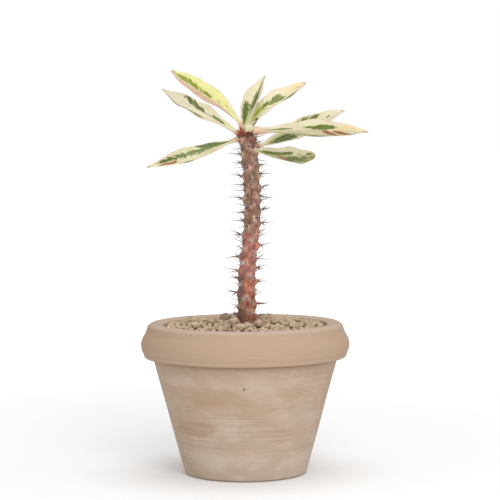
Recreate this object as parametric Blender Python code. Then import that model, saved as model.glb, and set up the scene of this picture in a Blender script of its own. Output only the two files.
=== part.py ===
"""Potted euphorbia: a clay pot with its soil, pale gravel and a spiny stem that carries a crown of leaves.

Metres, +Z up. The origin is the middle of the pot's flat foot and the front of the plant faces -Y.
"""

import math
import random

import bmesh
import bpy
from mathutils import Euler, Vector, noise

MM = 0.001
GAP = 0.3 * MM  # between pieces that touch

# Pot
RIM_RADIUS = 70.0 * MM
POT_HEIGHT = 101.4 * MM
LIP_BOTTOM = 78.6 * MM
NECK_RADIUS = 62.0 * MM
FOOT_RADIUS = 40.9 * MM
FOOT_ROUNDING = 1.2 * MM
WALL = 7.4 * MM
FLOOR = 7.0 * MM
MOUTH_RADIUS = 54.7 * MM
MOUTH_EDGE_DROP = 2.0 * MM
POT_SEGMENTS = 56
DRAIN_COUNT = 3
DRAIN_RADIUS = 4.5 * MM
DRAIN_CIRCLE = 18.0 * MM

# Soil and gravel
SOIL_TOP = 86.0 * MM
GRAVEL_EDGE = 99.4 * MM
GRAVEL_MIDDLE = 102.2 * MM
GRAVEL_LUMP = 1.3 * MM
GRAVEL_RINGS = 9
GRAVEL_SECTORS = 36

# Stem
STEM_FOOT = 75.0 * MM
STEM_BARE_TOP = 104.0 * MM
STEM_SHOULDER = 224.0 * MM
STEM_TOP = 227.4 * MM
STEM_CORE = 5.3 * MM
STEM_SIDES = 16
STEM_ROW = 2.0 * MM
BUMP = 1.6 * MM
BUMP_HEIGHT = 2.6 * MM
BUMP_STEP = 1.9 * MM
GOLDEN_ANGLE = math.radians(137.508)
SPINE_LENGTH = 8.0 * MM
SPINE_ROOT = 0.75 * MM
STEM_HOLE = STEM_CORE + 1.0 * MM
LEAF_CLEARANCE = 4.5 * MM

# Middle line of the stem as (height, sideways offset).
STEM_LINE = (
    (75.0, 1.3), (104.0, 1.3), (123.0, 1.1), (140.0, 1.9), (156.0, 4.0),
    (173.0, 5.2), (190.0, 5.2), (206.0, 4.5), (216.0, 3.2), (228.0, 2.0),
)

# Growing tip
TIP_PLACE = (3.0 * MM, -1.5 * MM)
TIP_RADIUS = 2.9 * MM
TIP_TOP = 232.0 * MM
TIP_SEGMENTS = 16

# Leaves
LEAF_THICKNESS = 1.2 * MM
LEAF_STALK = 2.2 * MM
LEAF_ROWS = 12
LEAF_COLUMNS = (-1.0, -0.5, 0.0, 0.5, 1.0)

# name: foot of the leaf, heading and its change, rise at the foot and at the tip, length, width,
# roll about the midrib, where it is widest, and the rise of each half from the midrib
LEAVES = {
    "leaf_1": ((-1.0, -2.9, 228.6), 207, 16, 61, 27, 71, 14.5, 30, 0.56, 15),
    "leaf_2": ((-3.6, 1.4, 226.8), 149, -16, 32, 23, 75, 14.5, -27, 0.52, 15),
    "leaf_3": ((-4.0, -2.2, 224.4), 203, 0, -20, -14, 67, 15.0, -66, 0.56, 36),
    "leaf_4": ((-0.2, 2.4, 228.4), 62, -8, 66, 51, 47, 16.0, 8, 0.50, 40),
    "leaf_5": ((5.1, 1.6, 228.6), 40, 2, 70, 22, 62, 16.0, 22, 0.48, 15),
    "leaf_6": ((9.0, 2.6, 219.5), 22, 0, 16, 22, 68, 16.0, -58, 0.51, 15),
    "leaf_7": ((6.7, -2.0, 228.4), -15, -16, 7, -2, 81, 13.5, -68, 0.56, 15),
    "leaf_8": ((7.6, -4.6, 218.0), -48, -16, -18, 3, 67, 17.5, -43, 0.46, 15),
}

# Larger stones as (x, y, size, flattening, turn), each set into the gravel by half its height.
STONES = (
    (-8.0, -20.0, 8.6, 0.75, 10), (8.5, -26.0, 7.4, 0.80, 75), (-22.0, -9.0, 7.4, 0.85, 140),
    (-13.5, 8.0, 7.6, 0.85, 200), (20.0, -8.0, 7.4, 0.75, 250), (-33.0, -24.0, 6.8, 0.80, 300),
    (31.0, -25.0, 7.2, 0.85, 30), (36.0, 5.0, 6.6, 0.75, 110), (17.0, 24.0, 7.2, 0.80, 170),
    (-12.0, 31.0, 7.4, 0.75, 220), (-37.0, 11.0, 6.8, 0.85, 270), (-3.0, -40.0, 7.0, 0.76, 330),
)


def clear_scene():
    for obj in list(bpy.data.objects):
        bpy.data.objects.remove(obj, do_unlink=True)


def make_material(name, colour, roughness):
    material = bpy.data.materials.new(name)
    material.use_nodes = True
    shader = material.node_tree.nodes["Principled BSDF"]
    shader.inputs["Base Color"].default_value = (*colour, 1.0)
    shader.inputs["Roughness"].default_value = roughness
    shader.inputs["Metallic"].default_value = 0.0
    return material


def add_object(name, bm, material, smooth=True):
    """Turn a bmesh into a named object with one material."""
    for face in bm.faces:
        face.smooth = smooth
    mesh = bpy.data.meshes.new(name)
    bm.to_mesh(mesh)
    bm.free()
    mesh.materials.append(material)
    obj = bpy.data.objects.new(name, mesh)
    bpy.context.scene.collection.objects.link(obj)
    return obj


def add_profile(name, points, segments, material):
    """Turn a polyline of (radius, height) about Z into a solid."""
    bm = bmesh.new()
    corners = [bm.verts.new((radius, 0.0, height)) for radius, height in points]
    for start, end in zip(corners, corners[1:]):
        bm.edges.new((start, end))
    obj = add_object(name, bm, material)
    screw = obj.modifiers.new("Screw", "SCREW")
    screw.steps = segments
    screw.render_steps = segments
    screw.use_merge_vertices = True
    screw.merge_threshold = 0.01 * MM
    screw.use_smooth_shade = True
    return obj


def add_cutter(name, radius, bottom, top, x, y, sides=24):
    bpy.ops.mesh.primitive_cylinder_add(
        vertices=sides, radius=radius, depth=top - bottom, location=(x, y, (bottom + top) / 2)
    )
    cutter = bpy.context.object
    cutter.name = name
    cutter.hide_render = True
    cutter.display_type = "WIRE"
    return cutter


def cut(obj, cutter):
    boolean = obj.modifiers.new(cutter.name, "BOOLEAN")
    boolean.operation = "DIFFERENCE"
    boolean.solver = "EXACT"
    boolean.object = cutter


def inner_radius(height):
    """Radius of the pot's inside, below the lip, at a height."""
    outer = FOOT_RADIUS + (NECK_RADIUS - FOOT_RADIUS) * height / LIP_BOTTOM
    return min(outer - WALL, MOUTH_RADIUS - 0.2 * MM)


def pot_outline():
    """Inside floor, up the wall, over the lip, down the outside and back to the middle of the foot."""
    lip_low = RIM_RADIUS - 2.1 * MM
    lip_high = RIM_RADIUS - 6.8 * MM
    bulge = POT_HEIGHT - 14.5 * MM
    body_foot = FOOT_RADIUS + (NECK_RADIUS - FOOT_RADIUS) * FOOT_ROUNDING / LIP_BOTTOM
    return [
        (0.0, FLOOR),
        (inner_radius(FLOOR) - 2.0 * MM, FLOOR),
        (inner_radius(FLOOR + 2.0 * MM), FLOOR + 2.0 * MM),
        (MOUTH_RADIUS - 0.2 * MM, LIP_BOTTOM),
        (MOUTH_RADIUS, POT_HEIGHT - MOUTH_EDGE_DROP),
        (MOUTH_RADIUS + 0.6 * MM, POT_HEIGHT - 0.75 * MOUTH_EDGE_DROP),
        (lip_high - 1.4 * MM, POT_HEIGHT - 0.1 * MM),
        (lip_high, POT_HEIGHT),
        (lip_high + 1.7 * MM, POT_HEIGHT - 1.3 * MM),
        (RIM_RADIUS - 3.4 * MM, bulge + 8.4 * MM),
        (RIM_RADIUS - 2.0 * MM, bulge + 5.9 * MM),
        (RIM_RADIUS - 0.8 * MM, bulge + 3.6 * MM),
        (RIM_RADIUS, bulge),
        (RIM_RADIUS - 0.3 * MM, bulge - 2.4 * MM),
        (RIM_RADIUS - 1.4 * MM, bulge - 4.6 * MM),
        (lip_low, LIP_BOTTOM + 0.8 * MM),
        (lip_low - 1.2 * MM, LIP_BOTTOM),
        (NECK_RADIUS, LIP_BOTTOM - 0.6 * MM),
        (body_foot, FOOT_ROUNDING),
        (FOOT_RADIUS - 0.8 * MM, 0.0),
        (0.0, 0.0),
    ]


def build_pot():
    clay = make_material("pot_clay", (0.53, 0.39, 0.28), 0.88)
    pot = add_profile("pot", pot_outline(), POT_SEGMENTS, clay)
    for index in range(DRAIN_COUNT):
        angle = math.tau * (index + 0.25) / DRAIN_COUNT
        hole = add_cutter(
            f"drain_cutter_{index + 1}", DRAIN_RADIUS, -2.0 * MM, FLOOR + 2.0 * MM,
            DRAIN_CIRCLE * math.cos(angle), DRAIN_CIRCLE * math.sin(angle), sides=16,
        )
        cut(pot, hole)


def build_soil(stem_hole):
    earth = make_material("potting_soil", (0.10, 0.07, 0.05), 0.95)
    bottom = FLOOR + GAP
    low = FLOOR + 3.0 * MM
    outline = [
        (0.0, SOIL_TOP),
        (inner_radius(SOIL_TOP) - GAP, SOIL_TOP),
        (inner_radius(LIP_BOTTOM) - GAP, LIP_BOTTOM - 1.0 * MM),
        (inner_radius(low) - 2 * GAP, low),
        (inner_radius(low) - 4.0 * MM, bottom),
        (0.0, bottom),
    ]
    soil = add_profile("soil", outline, POT_SEGMENTS, earth)
    cut(soil, stem_hole)


def gravel_height(radius):
    share = radius / MOUTH_RADIUS
    return GRAVEL_MIDDLE - (GRAVEL_MIDDLE - GRAVEL_EDGE) * share ** 2.5


def build_gravel_bed(stem_hole, stone_cutters):
    """A disc with a lumpy top that stands for the packed small gravel."""
    grit = make_material("gravel", (0.62, 0.52, 0.40), 0.9)
    bm = bmesh.new()
    edge = inner_radius(SOIL_TOP) - GAP
    lumps = random.Random(7)
    middle = bm.verts.new((0.0, 0.0, GRAVEL_MIDDLE))
    rings = []
    for ring in range(1, GRAVEL_RINGS + 1):
        radius = edge * ring / GRAVEL_RINGS
        loop = []
        for sector in range(GRAVEL_SECTORS):
            angle = math.tau * (sector + 0.5 * (ring % 2)) / GRAVEL_SECTORS
            height = gravel_height(radius) + lumps.uniform(-GRAVEL_LUMP, GRAVEL_LUMP)
            loop.append(bm.verts.new((radius * math.cos(angle), radius * math.sin(angle), height)))
        rings.append(loop)
    for sector in range(GRAVEL_SECTORS):
        after = (sector + 1) % GRAVEL_SECTORS
        bm.faces.new((middle, rings[0][sector], rings[0][after]))
        for inner, outer in zip(rings, rings[1:]):
            bm.faces.new((inner[sector], outer[sector], outer[after], inner[after]))
    border = [e for e in bm.edges if e.is_boundary]
    skirt = bmesh.ops.extrude_edge_only(bm, edges=border)["geom"]
    lower = [v for v in skirt if isinstance(v, bmesh.types.BMVert)]
    for vert in lower:
        vert.co.z = SOIL_TOP + GAP
    bmesh.ops.contextual_create(bm, geom=lower)
    bmesh.ops.triangulate(bm, faces=bm.faces[:])
    bmesh.ops.recalc_face_normals(bm, faces=bm.faces[:])
    bed = add_object("gravel_bed", bm, grit, smooth=False)
    cut(bed, stem_hole)
    for cutter in stone_cutters:
        cut(bed, cutter)


def stone_mesh(size, flattening, turn, seed, grow=0.0):
    """A ball pulled into a rough stone; grow makes it larger all round."""
    bm = bmesh.new()
    bmesh.ops.create_icosphere(bm, subdivisions=2, radius=1.0)
    tilt = Euler((0.25, 0.15, math.radians(turn)))
    for vert in bm.verts:
        rough = 1.0 + 0.22 * noise.noise(vert.co * 1.3 + Vector((seed * 3.1, 0.0, seed * 1.7)))
        reach = size / 2 * rough
        shaped = Vector((vert.co.x * reach, vert.co.y * reach * 0.8, vert.co.z * reach * flattening))
        shaped += vert.co * grow
        shaped.rotate(tilt)
        vert.co = shaped
    return bm


def build_stones():
    """The larger loose stones, and for each a cutter that seats it in the gravel bed."""
    cutters = []
    for index, (x, y, size, flattening, turn) in enumerate(STONES, start=1):
        tone = 0.9 + 0.2 * (index % 3) / 2
        material = make_material(f"stone_{index:02d}", (0.66 * tone, 0.55 * tone, 0.42 * tone), 0.9)
        place = Vector((x, y, gravel_height(math.hypot(x, y) * MM) / MM + 0.18 * size)) * MM
        stone = add_object(
            f"stone_{index:02d}", stone_mesh(size * MM, flattening, turn, index), material
        )
        stone.location = place
        cutter = add_object(
            f"stone_cutter_{index:02d}",
            stone_mesh(size * MM, flattening, turn, index, grow=1.6 * GAP), material,
        )
        cutter.location = place
        cutter.hide_render = True
        cutter.display_type = "WIRE"
        cutters.append(cutter)
    return cutters


def stem_offset(height):
    """Sideways offset of the stem's middle line, smoothly between the listed heights."""
    level = height / MM
    for (low, start), (high, end) in zip(STEM_LINE, STEM_LINE[1:]):
        if level <= high:
            share = max(0.0, (level - low) / (high - low))
            share = share * share * (3.0 - 2.0 * share)
            return (start + (end - start) * share) * MM
    return STEM_LINE[-1][1] * MM


def near_leaf(height, angle):
    """Whether a leaf grows where a spine cushion would be."""
    reach = STEM_CORE + BUMP
    spot = Vector((stem_offset(height) + reach * math.cos(angle), reach * math.sin(angle), height))
    return any((spot - Vector(shape[0]) * MM).length < LEAF_CLEARANCE for shape in LEAVES.values())


def bump_places():
    """(height, angle) of each spine cushion, in the spiral order in which they grew."""
    places = []
    height = STEM_BARE_TOP + 2.0 * MM
    angle = 0.4
    while height < STEM_SHOULDER - 1.0 * MM:
        if not near_leaf(height, angle):
            places.append((height, angle % math.tau))
        height += BUMP_STEP
        angle += GOLDEN_ANGLE
    return places


def stem_radius(height, angle, bumps):
    radius = STEM_CORE
    for level, around in bumps:
        rise = (height - level) / BUMP_HEIGHT
        if abs(rise) < 2.0:
            turn = (angle - around + math.pi) % math.tau - math.pi
            radius = max(radius, STEM_CORE + BUMP * math.exp(-rise * rise - (turn / 0.42) ** 2))
    return radius


def stem_heights():
    heights = [STEM_FOOT, (STEM_FOOT + STEM_BARE_TOP) / 2]
    level = STEM_BARE_TOP
    while level < STEM_SHOULDER:
        heights.append(level)
        level += STEM_ROW
    return heights


def grow_spine(bm, face, height, angle, length):
    """Turn one face of the stem's skin into a spine that leans a little off the level."""
    width = min(edge.calc_length() for edge in face.edges)
    bmesh.ops.inset_individual(bm, faces=[face], thickness=width / 2 - SPINE_ROOT / 2)
    point = bmesh.ops.poke(bm, faces=[face])["verts"][0]
    lean = 0.25 * math.sin(height / MM * 1.7)
    point.co += Vector((math.cos(angle), math.sin(angle), lean)) * length


def build_stem():
    bark = make_material("stem_bark", (0.34, 0.19, 0.14), 0.75)
    bumps = bump_places()
    bm = bmesh.new()
    rows = []
    for height in stem_heights():
        row = []
        for side in range(STEM_SIDES):
            angle = math.tau * side / STEM_SIDES
            radius = stem_radius(height, angle, bumps)
            x = stem_offset(height) + radius * math.cos(angle)
            row.append(bm.verts.new((x, radius * math.sin(angle), height)))
        rows.append(row)
    for drop, share in ((1.2 * MM, 0.92), (0.0, 0.72)):
        height = STEM_TOP - drop
        row = []
        for side in range(STEM_SIDES):
            angle = math.tau * side / STEM_SIDES
            x = stem_offset(height) + share * STEM_CORE * math.cos(angle)
            row.append(bm.verts.new((x, share * STEM_CORE * math.sin(angle), height)))
        rows.append(row)
    faces = {}
    for level, (low, high) in enumerate(zip(rows, rows[1:])):
        for side in range(STEM_SIDES):
            after = (side + 1) % STEM_SIDES
            faces[level, side] = bm.faces.new((low[side], low[after], high[after], high[side]))
    bm.faces.new(rows[0][::-1])
    bm.faces.new(rows[-1])
    first_row = stem_heights().index(STEM_BARE_TOP)
    for index, (height, angle) in enumerate(bumps):
        level = first_row + int((height - STEM_BARE_TOP) / STEM_ROW)
        side = int(angle / math.tau * STEM_SIDES) % STEM_SIDES
        face = faces.pop((level, side), None)
        if face is not None and level < len(rows) - 4:
            grow_spine(bm, face, height, angle, SPINE_LENGTH * (0.75 + 0.25 * (index % 4) / 3))
    bmesh.ops.recalc_face_normals(bm, faces=bm.faces[:])
    add_object("stem", bm, bark)


def build_growing_tip():
    flesh = make_material("growing_tip", (0.62, 0.66, 0.38), 0.5)
    bottom = STEM_TOP + GAP
    height = TIP_TOP - bottom
    outline = [(0.0, TIP_TOP)]
    for step in range(1, 6):
        angle = math.radians(90 * step / 5)
        outline.append((TIP_RADIUS * math.sin(angle), bottom + height * (0.35 + 0.65 * math.cos(angle))))
    outline.append((TIP_RADIUS * 0.9, bottom))
    outline.append((0.0, bottom))
    tip = add_profile("growing_tip", outline, TIP_SEGMENTS, flesh)
    tip.location = (*TIP_PLACE, 0.0)


def leaf_frames(foot, heading, swing, rise_foot, rise_tip, length, roll):
    """Points along the midrib, each with the directions across and away from the blade."""
    frames = []
    point = Vector(foot) * MM
    for row in range(LEAF_ROWS + 1):
        share = row / LEAF_ROWS
        azimuth = math.radians(heading + swing * share)
        rise = math.radians(rise_tip + (rise_foot - rise_tip) * (1.0 - share) ** 3)
        ahead = Vector(
            (math.cos(rise) * math.cos(azimuth), math.cos(rise) * math.sin(azimuth), math.sin(rise))
        )
        level = Vector((-math.sin(azimuth), math.cos(azimuth), 0.0))
        upright = ahead.cross(level)
        turn = math.radians(roll)
        across = level * math.cos(turn) + upright * math.sin(turn)
        normal = upright * math.cos(turn) - level * math.sin(turn)
        frames.append((share, point.copy(), across, normal))
        point += ahead * length * MM / LEAF_ROWS
    return frames


def leaf_half_width(share, width, widest):
    """Half the blade's width: a narrow stalk, a swelling blade and a pointed tip."""
    swelling = math.sin(math.pi * share ** (math.log(0.5) / math.log(widest)))
    blade = width * MM / 2 * max(0.0, swelling) ** 1.15
    return max(blade, LEAF_STALK / 2 * math.sqrt(1.0 - share) + 0.15 * MM)


def build_leaf(name, foot, heading, swing, rise_foot, rise_tip, length, width, roll, widest, fold):
    blade = make_material(name, (0.56, 0.56, 0.30), 0.5)
    bm = bmesh.new()
    rows = []
    slope = math.radians(fold)
    for share, point, across, normal in leaf_frames(
        foot, heading, swing, rise_foot, rise_tip, length, roll
    ):
        half = leaf_half_width(share, width, widest)
        row = []
        for column in LEAF_COLUMNS:
            sideways = across * column * half * math.cos(slope)
            lift = normal * abs(column) * half * math.sin(slope)
            row.append(bm.verts.new(point + sideways + lift))
        rows.append(row)
    for low, high in zip(rows, rows[1:]):
        for column in range(len(LEAF_COLUMNS) - 1):
            bm.faces.new((low[column], high[column], high[column + 1], low[column + 1]))
    bmesh.ops.recalc_face_normals(bm, faces=bm.faces[:])
    leaf = add_object(name, bm, blade)
    solidify = leaf.modifiers.new("Solidify", "SOLIDIFY")
    solidify.thickness = LEAF_THICKNESS
    solidify.offset = 0.0


def main():
    clear_scene()
    stem_hole = add_cutter(
        "stem_hole", STEM_HOLE, STEM_FOOT - GAP, GRAVEL_MIDDLE + 8.0 * MM, stem_offset(STEM_FOOT), 0.0
    )
    build_pot()
    build_soil(stem_hole)
    build_gravel_bed(stem_hole, build_stones())
    build_stem()
    build_growing_tip()
    for name, shape in LEAVES.items():
        build_leaf(name, *shape)


main()
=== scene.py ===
"""Potted euphorbia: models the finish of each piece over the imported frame.

It is laid out as an add-on with one operator for each piece or group of pieces, and is run as a script.
"""

import math
import random
from collections import namedtuple

import bpy
from bpy.props import FloatProperty, FloatVectorProperty, IntProperty, PointerProperty
from bpy.types import Operator, Panel, PropertyGroup
from mathutils import Euler, Matrix, Vector, noise


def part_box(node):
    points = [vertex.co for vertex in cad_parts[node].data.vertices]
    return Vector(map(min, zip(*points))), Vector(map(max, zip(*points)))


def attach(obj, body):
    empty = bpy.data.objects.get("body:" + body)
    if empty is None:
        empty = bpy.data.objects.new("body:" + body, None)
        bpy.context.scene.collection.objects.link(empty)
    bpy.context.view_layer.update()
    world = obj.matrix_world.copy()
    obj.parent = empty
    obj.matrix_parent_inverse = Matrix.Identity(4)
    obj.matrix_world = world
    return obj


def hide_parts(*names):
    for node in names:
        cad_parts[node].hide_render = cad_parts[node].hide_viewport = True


bl_info = {
    "name": "Potted Euphorbia",
    "version": (1, 0, 0),
    "blender": (4, 5, 0),
    "location": "View3D > Sidebar > Euphorbia",
    "description": "Models a potted euphorbia: clay pot, gravel, spiny stem and variegated leaves",
    "category": "Add Mesh",
}

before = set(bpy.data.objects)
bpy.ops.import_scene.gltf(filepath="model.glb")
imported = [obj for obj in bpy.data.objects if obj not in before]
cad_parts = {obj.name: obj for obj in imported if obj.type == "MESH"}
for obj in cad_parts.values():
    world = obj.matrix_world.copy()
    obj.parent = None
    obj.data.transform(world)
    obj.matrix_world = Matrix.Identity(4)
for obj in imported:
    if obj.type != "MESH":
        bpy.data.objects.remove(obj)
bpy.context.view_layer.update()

MM = 0.001
BODY = "root"

# Pot: its box comes from the frame
POT_LOW, POT_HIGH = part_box("pot")
RIM_RADIUS = (POT_HIGH[0] - POT_LOW[0]) / 2
POT_HEIGHT = POT_HIGH[2]
LIP_BOTTOM = 78.6 * MM
NECK_RADIUS = 62.0 * MM
FOOT_RADIUS = 40.9 * MM
MOUTH_RADIUS = 54.7 * MM
WALL = 7.4 * MM
FLOOR = 7.0 * MM
DRAIN_RADIUS = 4.5 * MM
DRAIN_CIRCLE = 18.0 * MM

# Clay tones, and the painted shade for the crease under the lip and along the foot
BROWN_CLAY = (0.44, 0.30, 0.195)
FINE_BLOOM = (0.60, 0.47, 0.37)
PALE_LINE = (0.68, 0.58, 0.48)
PAINTED_CREASE_SHADE = (0.20, 0.125, 0.085)
CLAY_PIT = (0.14, 0.10, 0.08)
CLAY_SPECKLE = (0.27, 0.18, 0.13)
BROWN_STAIN = (0.43, 0.29, 0.19)
PALE_STAIN = (0.62, 0.53, 0.46)

# Stains on the front of the pot: sideways place, height, half width and half height in millimetres,
# then strength and colour
CLAY_STAINS = (
    (-18, 57, 25, 8.5, 0.50, BROWN_STAIN), (-33, 35, 15, 8, 0.52, BROWN_STAIN),
    (30, 60, 13, 6, 0.25, BROWN_STAIN), (-24, 14, 16, 10, 0.45, PALE_STAIN),
    (-42, 68, 14, 6, 0.30, PALE_STAIN),
)

# Soil and gravel
SOIL_DARK = (0.035, 0.022, 0.014)
SOIL_CRUMB = (0.12, 0.075, 0.045)
SOIL_FLECK = (0.42, 0.36, 0.30)
STONE_CLOUD = (0.50, 0.37, 0.25)
STONE_PORE = (0.20, 0.14, 0.09)
STONE_FLECK = (0.80, 0.70, 0.58)
FINES_CRUMB = (0.16, 0.105, 0.065)
GRAVEL_MIDDLE = 101.4 * MM
GRAVEL_EDGE = 98.6 * MM
FINES_DEPTH = 4.0 * MM
GRAIN_KINDS = 14
GRAIN_TONE = 0.64
DEEP_GRAIN_SINK = 2.9 * MM
DEEP_GRAIN_TONE = 0.35
STONE_NODES = [f"stone_{index:02d}" for index in range(1, 13)]
DARK_STONE = "stone_04"

# Stem
STEM_FOOT = 76.0 * MM
STEM_BARE_TOP = 104.0 * MM
STEM_SHOULDER = 224.0 * MM
STEM_TOP = 227.4 * MM
STEM_CORE = 4.8 * MM
STEM_SIDES = 64
STEM_ROWS = 300
STEM_SWELL = 0.75 * MM
STEM_SWELL_HEIGHT = 50.0 * MM

# Middle line of the stem: height and sideways offset, in millimetres
STEM_LINE = (
    (75.0, 1.3), (104.0, 1.3), (123.0, 1.1), (140.0, 1.9), (156.0, 4.0),
    (173.0, 5.2), (190.0, 5.2), (206.0, 4.5), (216.0, 3.2), (228.0, 2.0),
)

# Spine cushions: the turn and step from each to the next up the spiral, and their half height and turn
GOLDEN_ANGLE = math.radians(137.508)
CUSHION_STEP = 1.85 * MM
CUSHION_HEIGHT = 3.2 * MM
CUSHION_TURN = 0.50

# How far the bark swells under a leaf, and how far from a leaf's foot the nearest cushion is
LEAF_BASE_SWELL = 1.7 * MM
LEAF_CLEARANCE = 3.3 * MM

# Spines: their girth at the root, and where they are short or weathered
NEEDLE_GIRTH = 7.4 * MM
YOUNG_SPINES = STEM_SHOULDER - 18 * MM
WEATHERED_BELOW = 165 * MM

# Bark tones, and the painted shade in the grooves between the cushions
PURPLE_BARK = (0.42, 0.17, 0.155)
PAINTED_GROOVE_SHADE = (0.13, 0.065, 0.045)
CUSHION_SKIN = (0.62, 0.46, 0.34)
CUSHION_TIP = (0.36, 0.27, 0.23)
LEAF_BASE = (0.60, 0.37, 0.27)
DARK_COLLAR = (0.17, 0.060, 0.035)

# Marks in the bark: colour, size, stretch along the stem, where they start and are full,
# and how strong they are on old and on young bark
BARK_MARKS = (
    ((0.26, 0.140, 0.14), 320.0, 0.38, 0.50, 0.56, 0.80, 0.50),
    ((0.60, 0.30, 0.29), 360.0, 0.32, 0.54, 0.59, 0.85, 0.50),
    ((0.22, 0.18, 0.09), 340.0, 0.42, 0.53, 0.58, 0.45, 0.90),
    ((0.085, 0.045, 0.028), 480.0, 0.32, 0.55, 0.60, 0.80, 0.90),
    ((0.68, 0.50, 0.34), 430.0, 0.50, 0.58, 0.62, 0.45, 0.75),
    ((0.88, 0.27, 0.13), 330.0, 0.38, 0.55, 0.61, 0.85, 0.10),
)

# Spine tones
WORN_SPINE = (0.70, 0.64, 0.60)
SPINE_ROOT = (0.20, 0.13, 0.105)
SPINE_POINT = (0.62, 0.52, 0.48)
SPINE_SCUFF = (0.55, 0.47, 0.42)

# Tuft of stipules beside the growing tip: middle and spread along each axis, in millimetres
STIPULE_TUFT = ((-2.6, 0.9), (-3.6, 0.5), (228.4, 1.3))

# Crown tones
TIP_GREEN = (0.45, 0.47, 0.27)
TIP_CREAM = (0.66, 0.63, 0.42)
TIP_PEACH = (0.72, 0.50, 0.32)
TIP_SHADE = (0.22, 0.09, 0.05)
FOOT_ROSE = (0.66, 0.43, 0.30)
FOOT_PEACH = (0.70, 0.54, 0.38)
FOOT_FLUSH = (0.52, 0.13, 0.10)
FOOT_SHADE = (0.30, 0.12, 0.07)
STIPULE_DARK = (0.11, 0.030, 0.018)
STIPULE_RED = (0.60, 0.13, 0.10)
STIPULE_ROOT = (0.16, 0.05, 0.03)
STIPULE_VEIN = (0.72, 0.38, 0.28)
STUB_DARK = (0.035, 0.018, 0.010)
STUB_BROWN = (0.16, 0.075, 0.04)

# Leaves: foot in millimetres, heading and its change, rise at the foot and at the tip, length, width,
# roll about the midrib, where it is widest, and the rise of each half from the midrib
LeafShape = namedtuple(
    "LeafShape", "foot heading swing foot_rise tip_rise length width roll widest fold"
)
LEAVES = {
    "leaf_1": LeafShape((-1.0, -2.9, 228.6), 207, 16, 61, 27, 71, 14.5, 30, 0.56, 15),
    "leaf_2": LeafShape((-3.6, 1.4, 226.8), 149, -16, 32, 23, 75, 14.5, -27, 0.52, 15),
    "leaf_3": LeafShape((-4.0, -2.2, 224.4), 203, 0, -20, -14, 67, 15.0, -66, 0.56, 36),
    "leaf_4": LeafShape((-0.2, 2.4, 228.4), 62, -8, 66, 51, 47, 16.0, 8, 0.50, 40),
    "leaf_5": LeafShape((5.1, 1.6, 228.6), 40, 2, 70, 22, 62, 16.0, 22, 0.48, 15),
    "leaf_6": LeafShape((9.0, 2.6, 219.5), 22, 0, 16, 22, 68, 16.0, -58, 0.51, 15),
    "leaf_7": LeafShape((6.7, -2.0, 228.4), -15, -16, 7, -2, 81, 13.5, -68, 0.56, 24),
    "leaf_8": LeafShape((7.6, -4.6, 218.0), -48, -16, -18, 3, 67, 17.5, -43, 0.46, 15),
}
LEAF_ROWS = 90
LEAF_COLUMNS = 26

# How each leaf departs from the plain shape: width, lean of the width to one edge, bluntness of the tip
# (smaller is blunter), height of the waves along the edge in millimetres, how many, where they start,
# half width of the stalk, and how far its foot is drawn toward the growing tip, both in millimetres
LeafForm = namedtuple("LeafForm", "width lean blunt wave waves start stalk drawn")
LEAF_FORMS = {
    "leaf_1": LeafForm(1.00, 0.00, 0.85, 0.6, 2.6, 0.1, 1.2, (0.9, 2.2, 2.8)),
    "leaf_2": LeafForm(0.98, 0.05, 0.95, 1.0, 3.0, 0.6, 1.2, (0.4, 0.0, 1.0)),
    "leaf_3": LeafForm(0.80, 0.06, 1.00, 0.9, 2.4, 0.3, 1.2, (0.3, 0.2, 0.4)),
    "leaf_4": LeafForm(0.95, 0.00, 1.00, 0.6, 2.0, 0.0, 1.2, (-0.3, 0.0, 1.0)),
    "leaf_5": LeafForm(0.88, 0.08, 0.62, 0.8, 2.5, 0.8, 1.2, (-2.8, 0.2, 1.4)),
    "leaf_6": LeafForm(0.96, 0.00, 0.80, 0.8, 2.8, 0.4, 1.2, (0.0, 0.0, 0.0)),
    "leaf_7": LeafForm(0.94, -0.10, 1.05, 1.0, 3.2, 0.2, 2.2, (-0.6, 0.0, 0.6)),
    "leaf_8": LeafForm(0.96, 0.26, 0.58, 0.9, 2.2, 0.5, 1.2, (0.0, 0.2, 0.2)),
}

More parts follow.
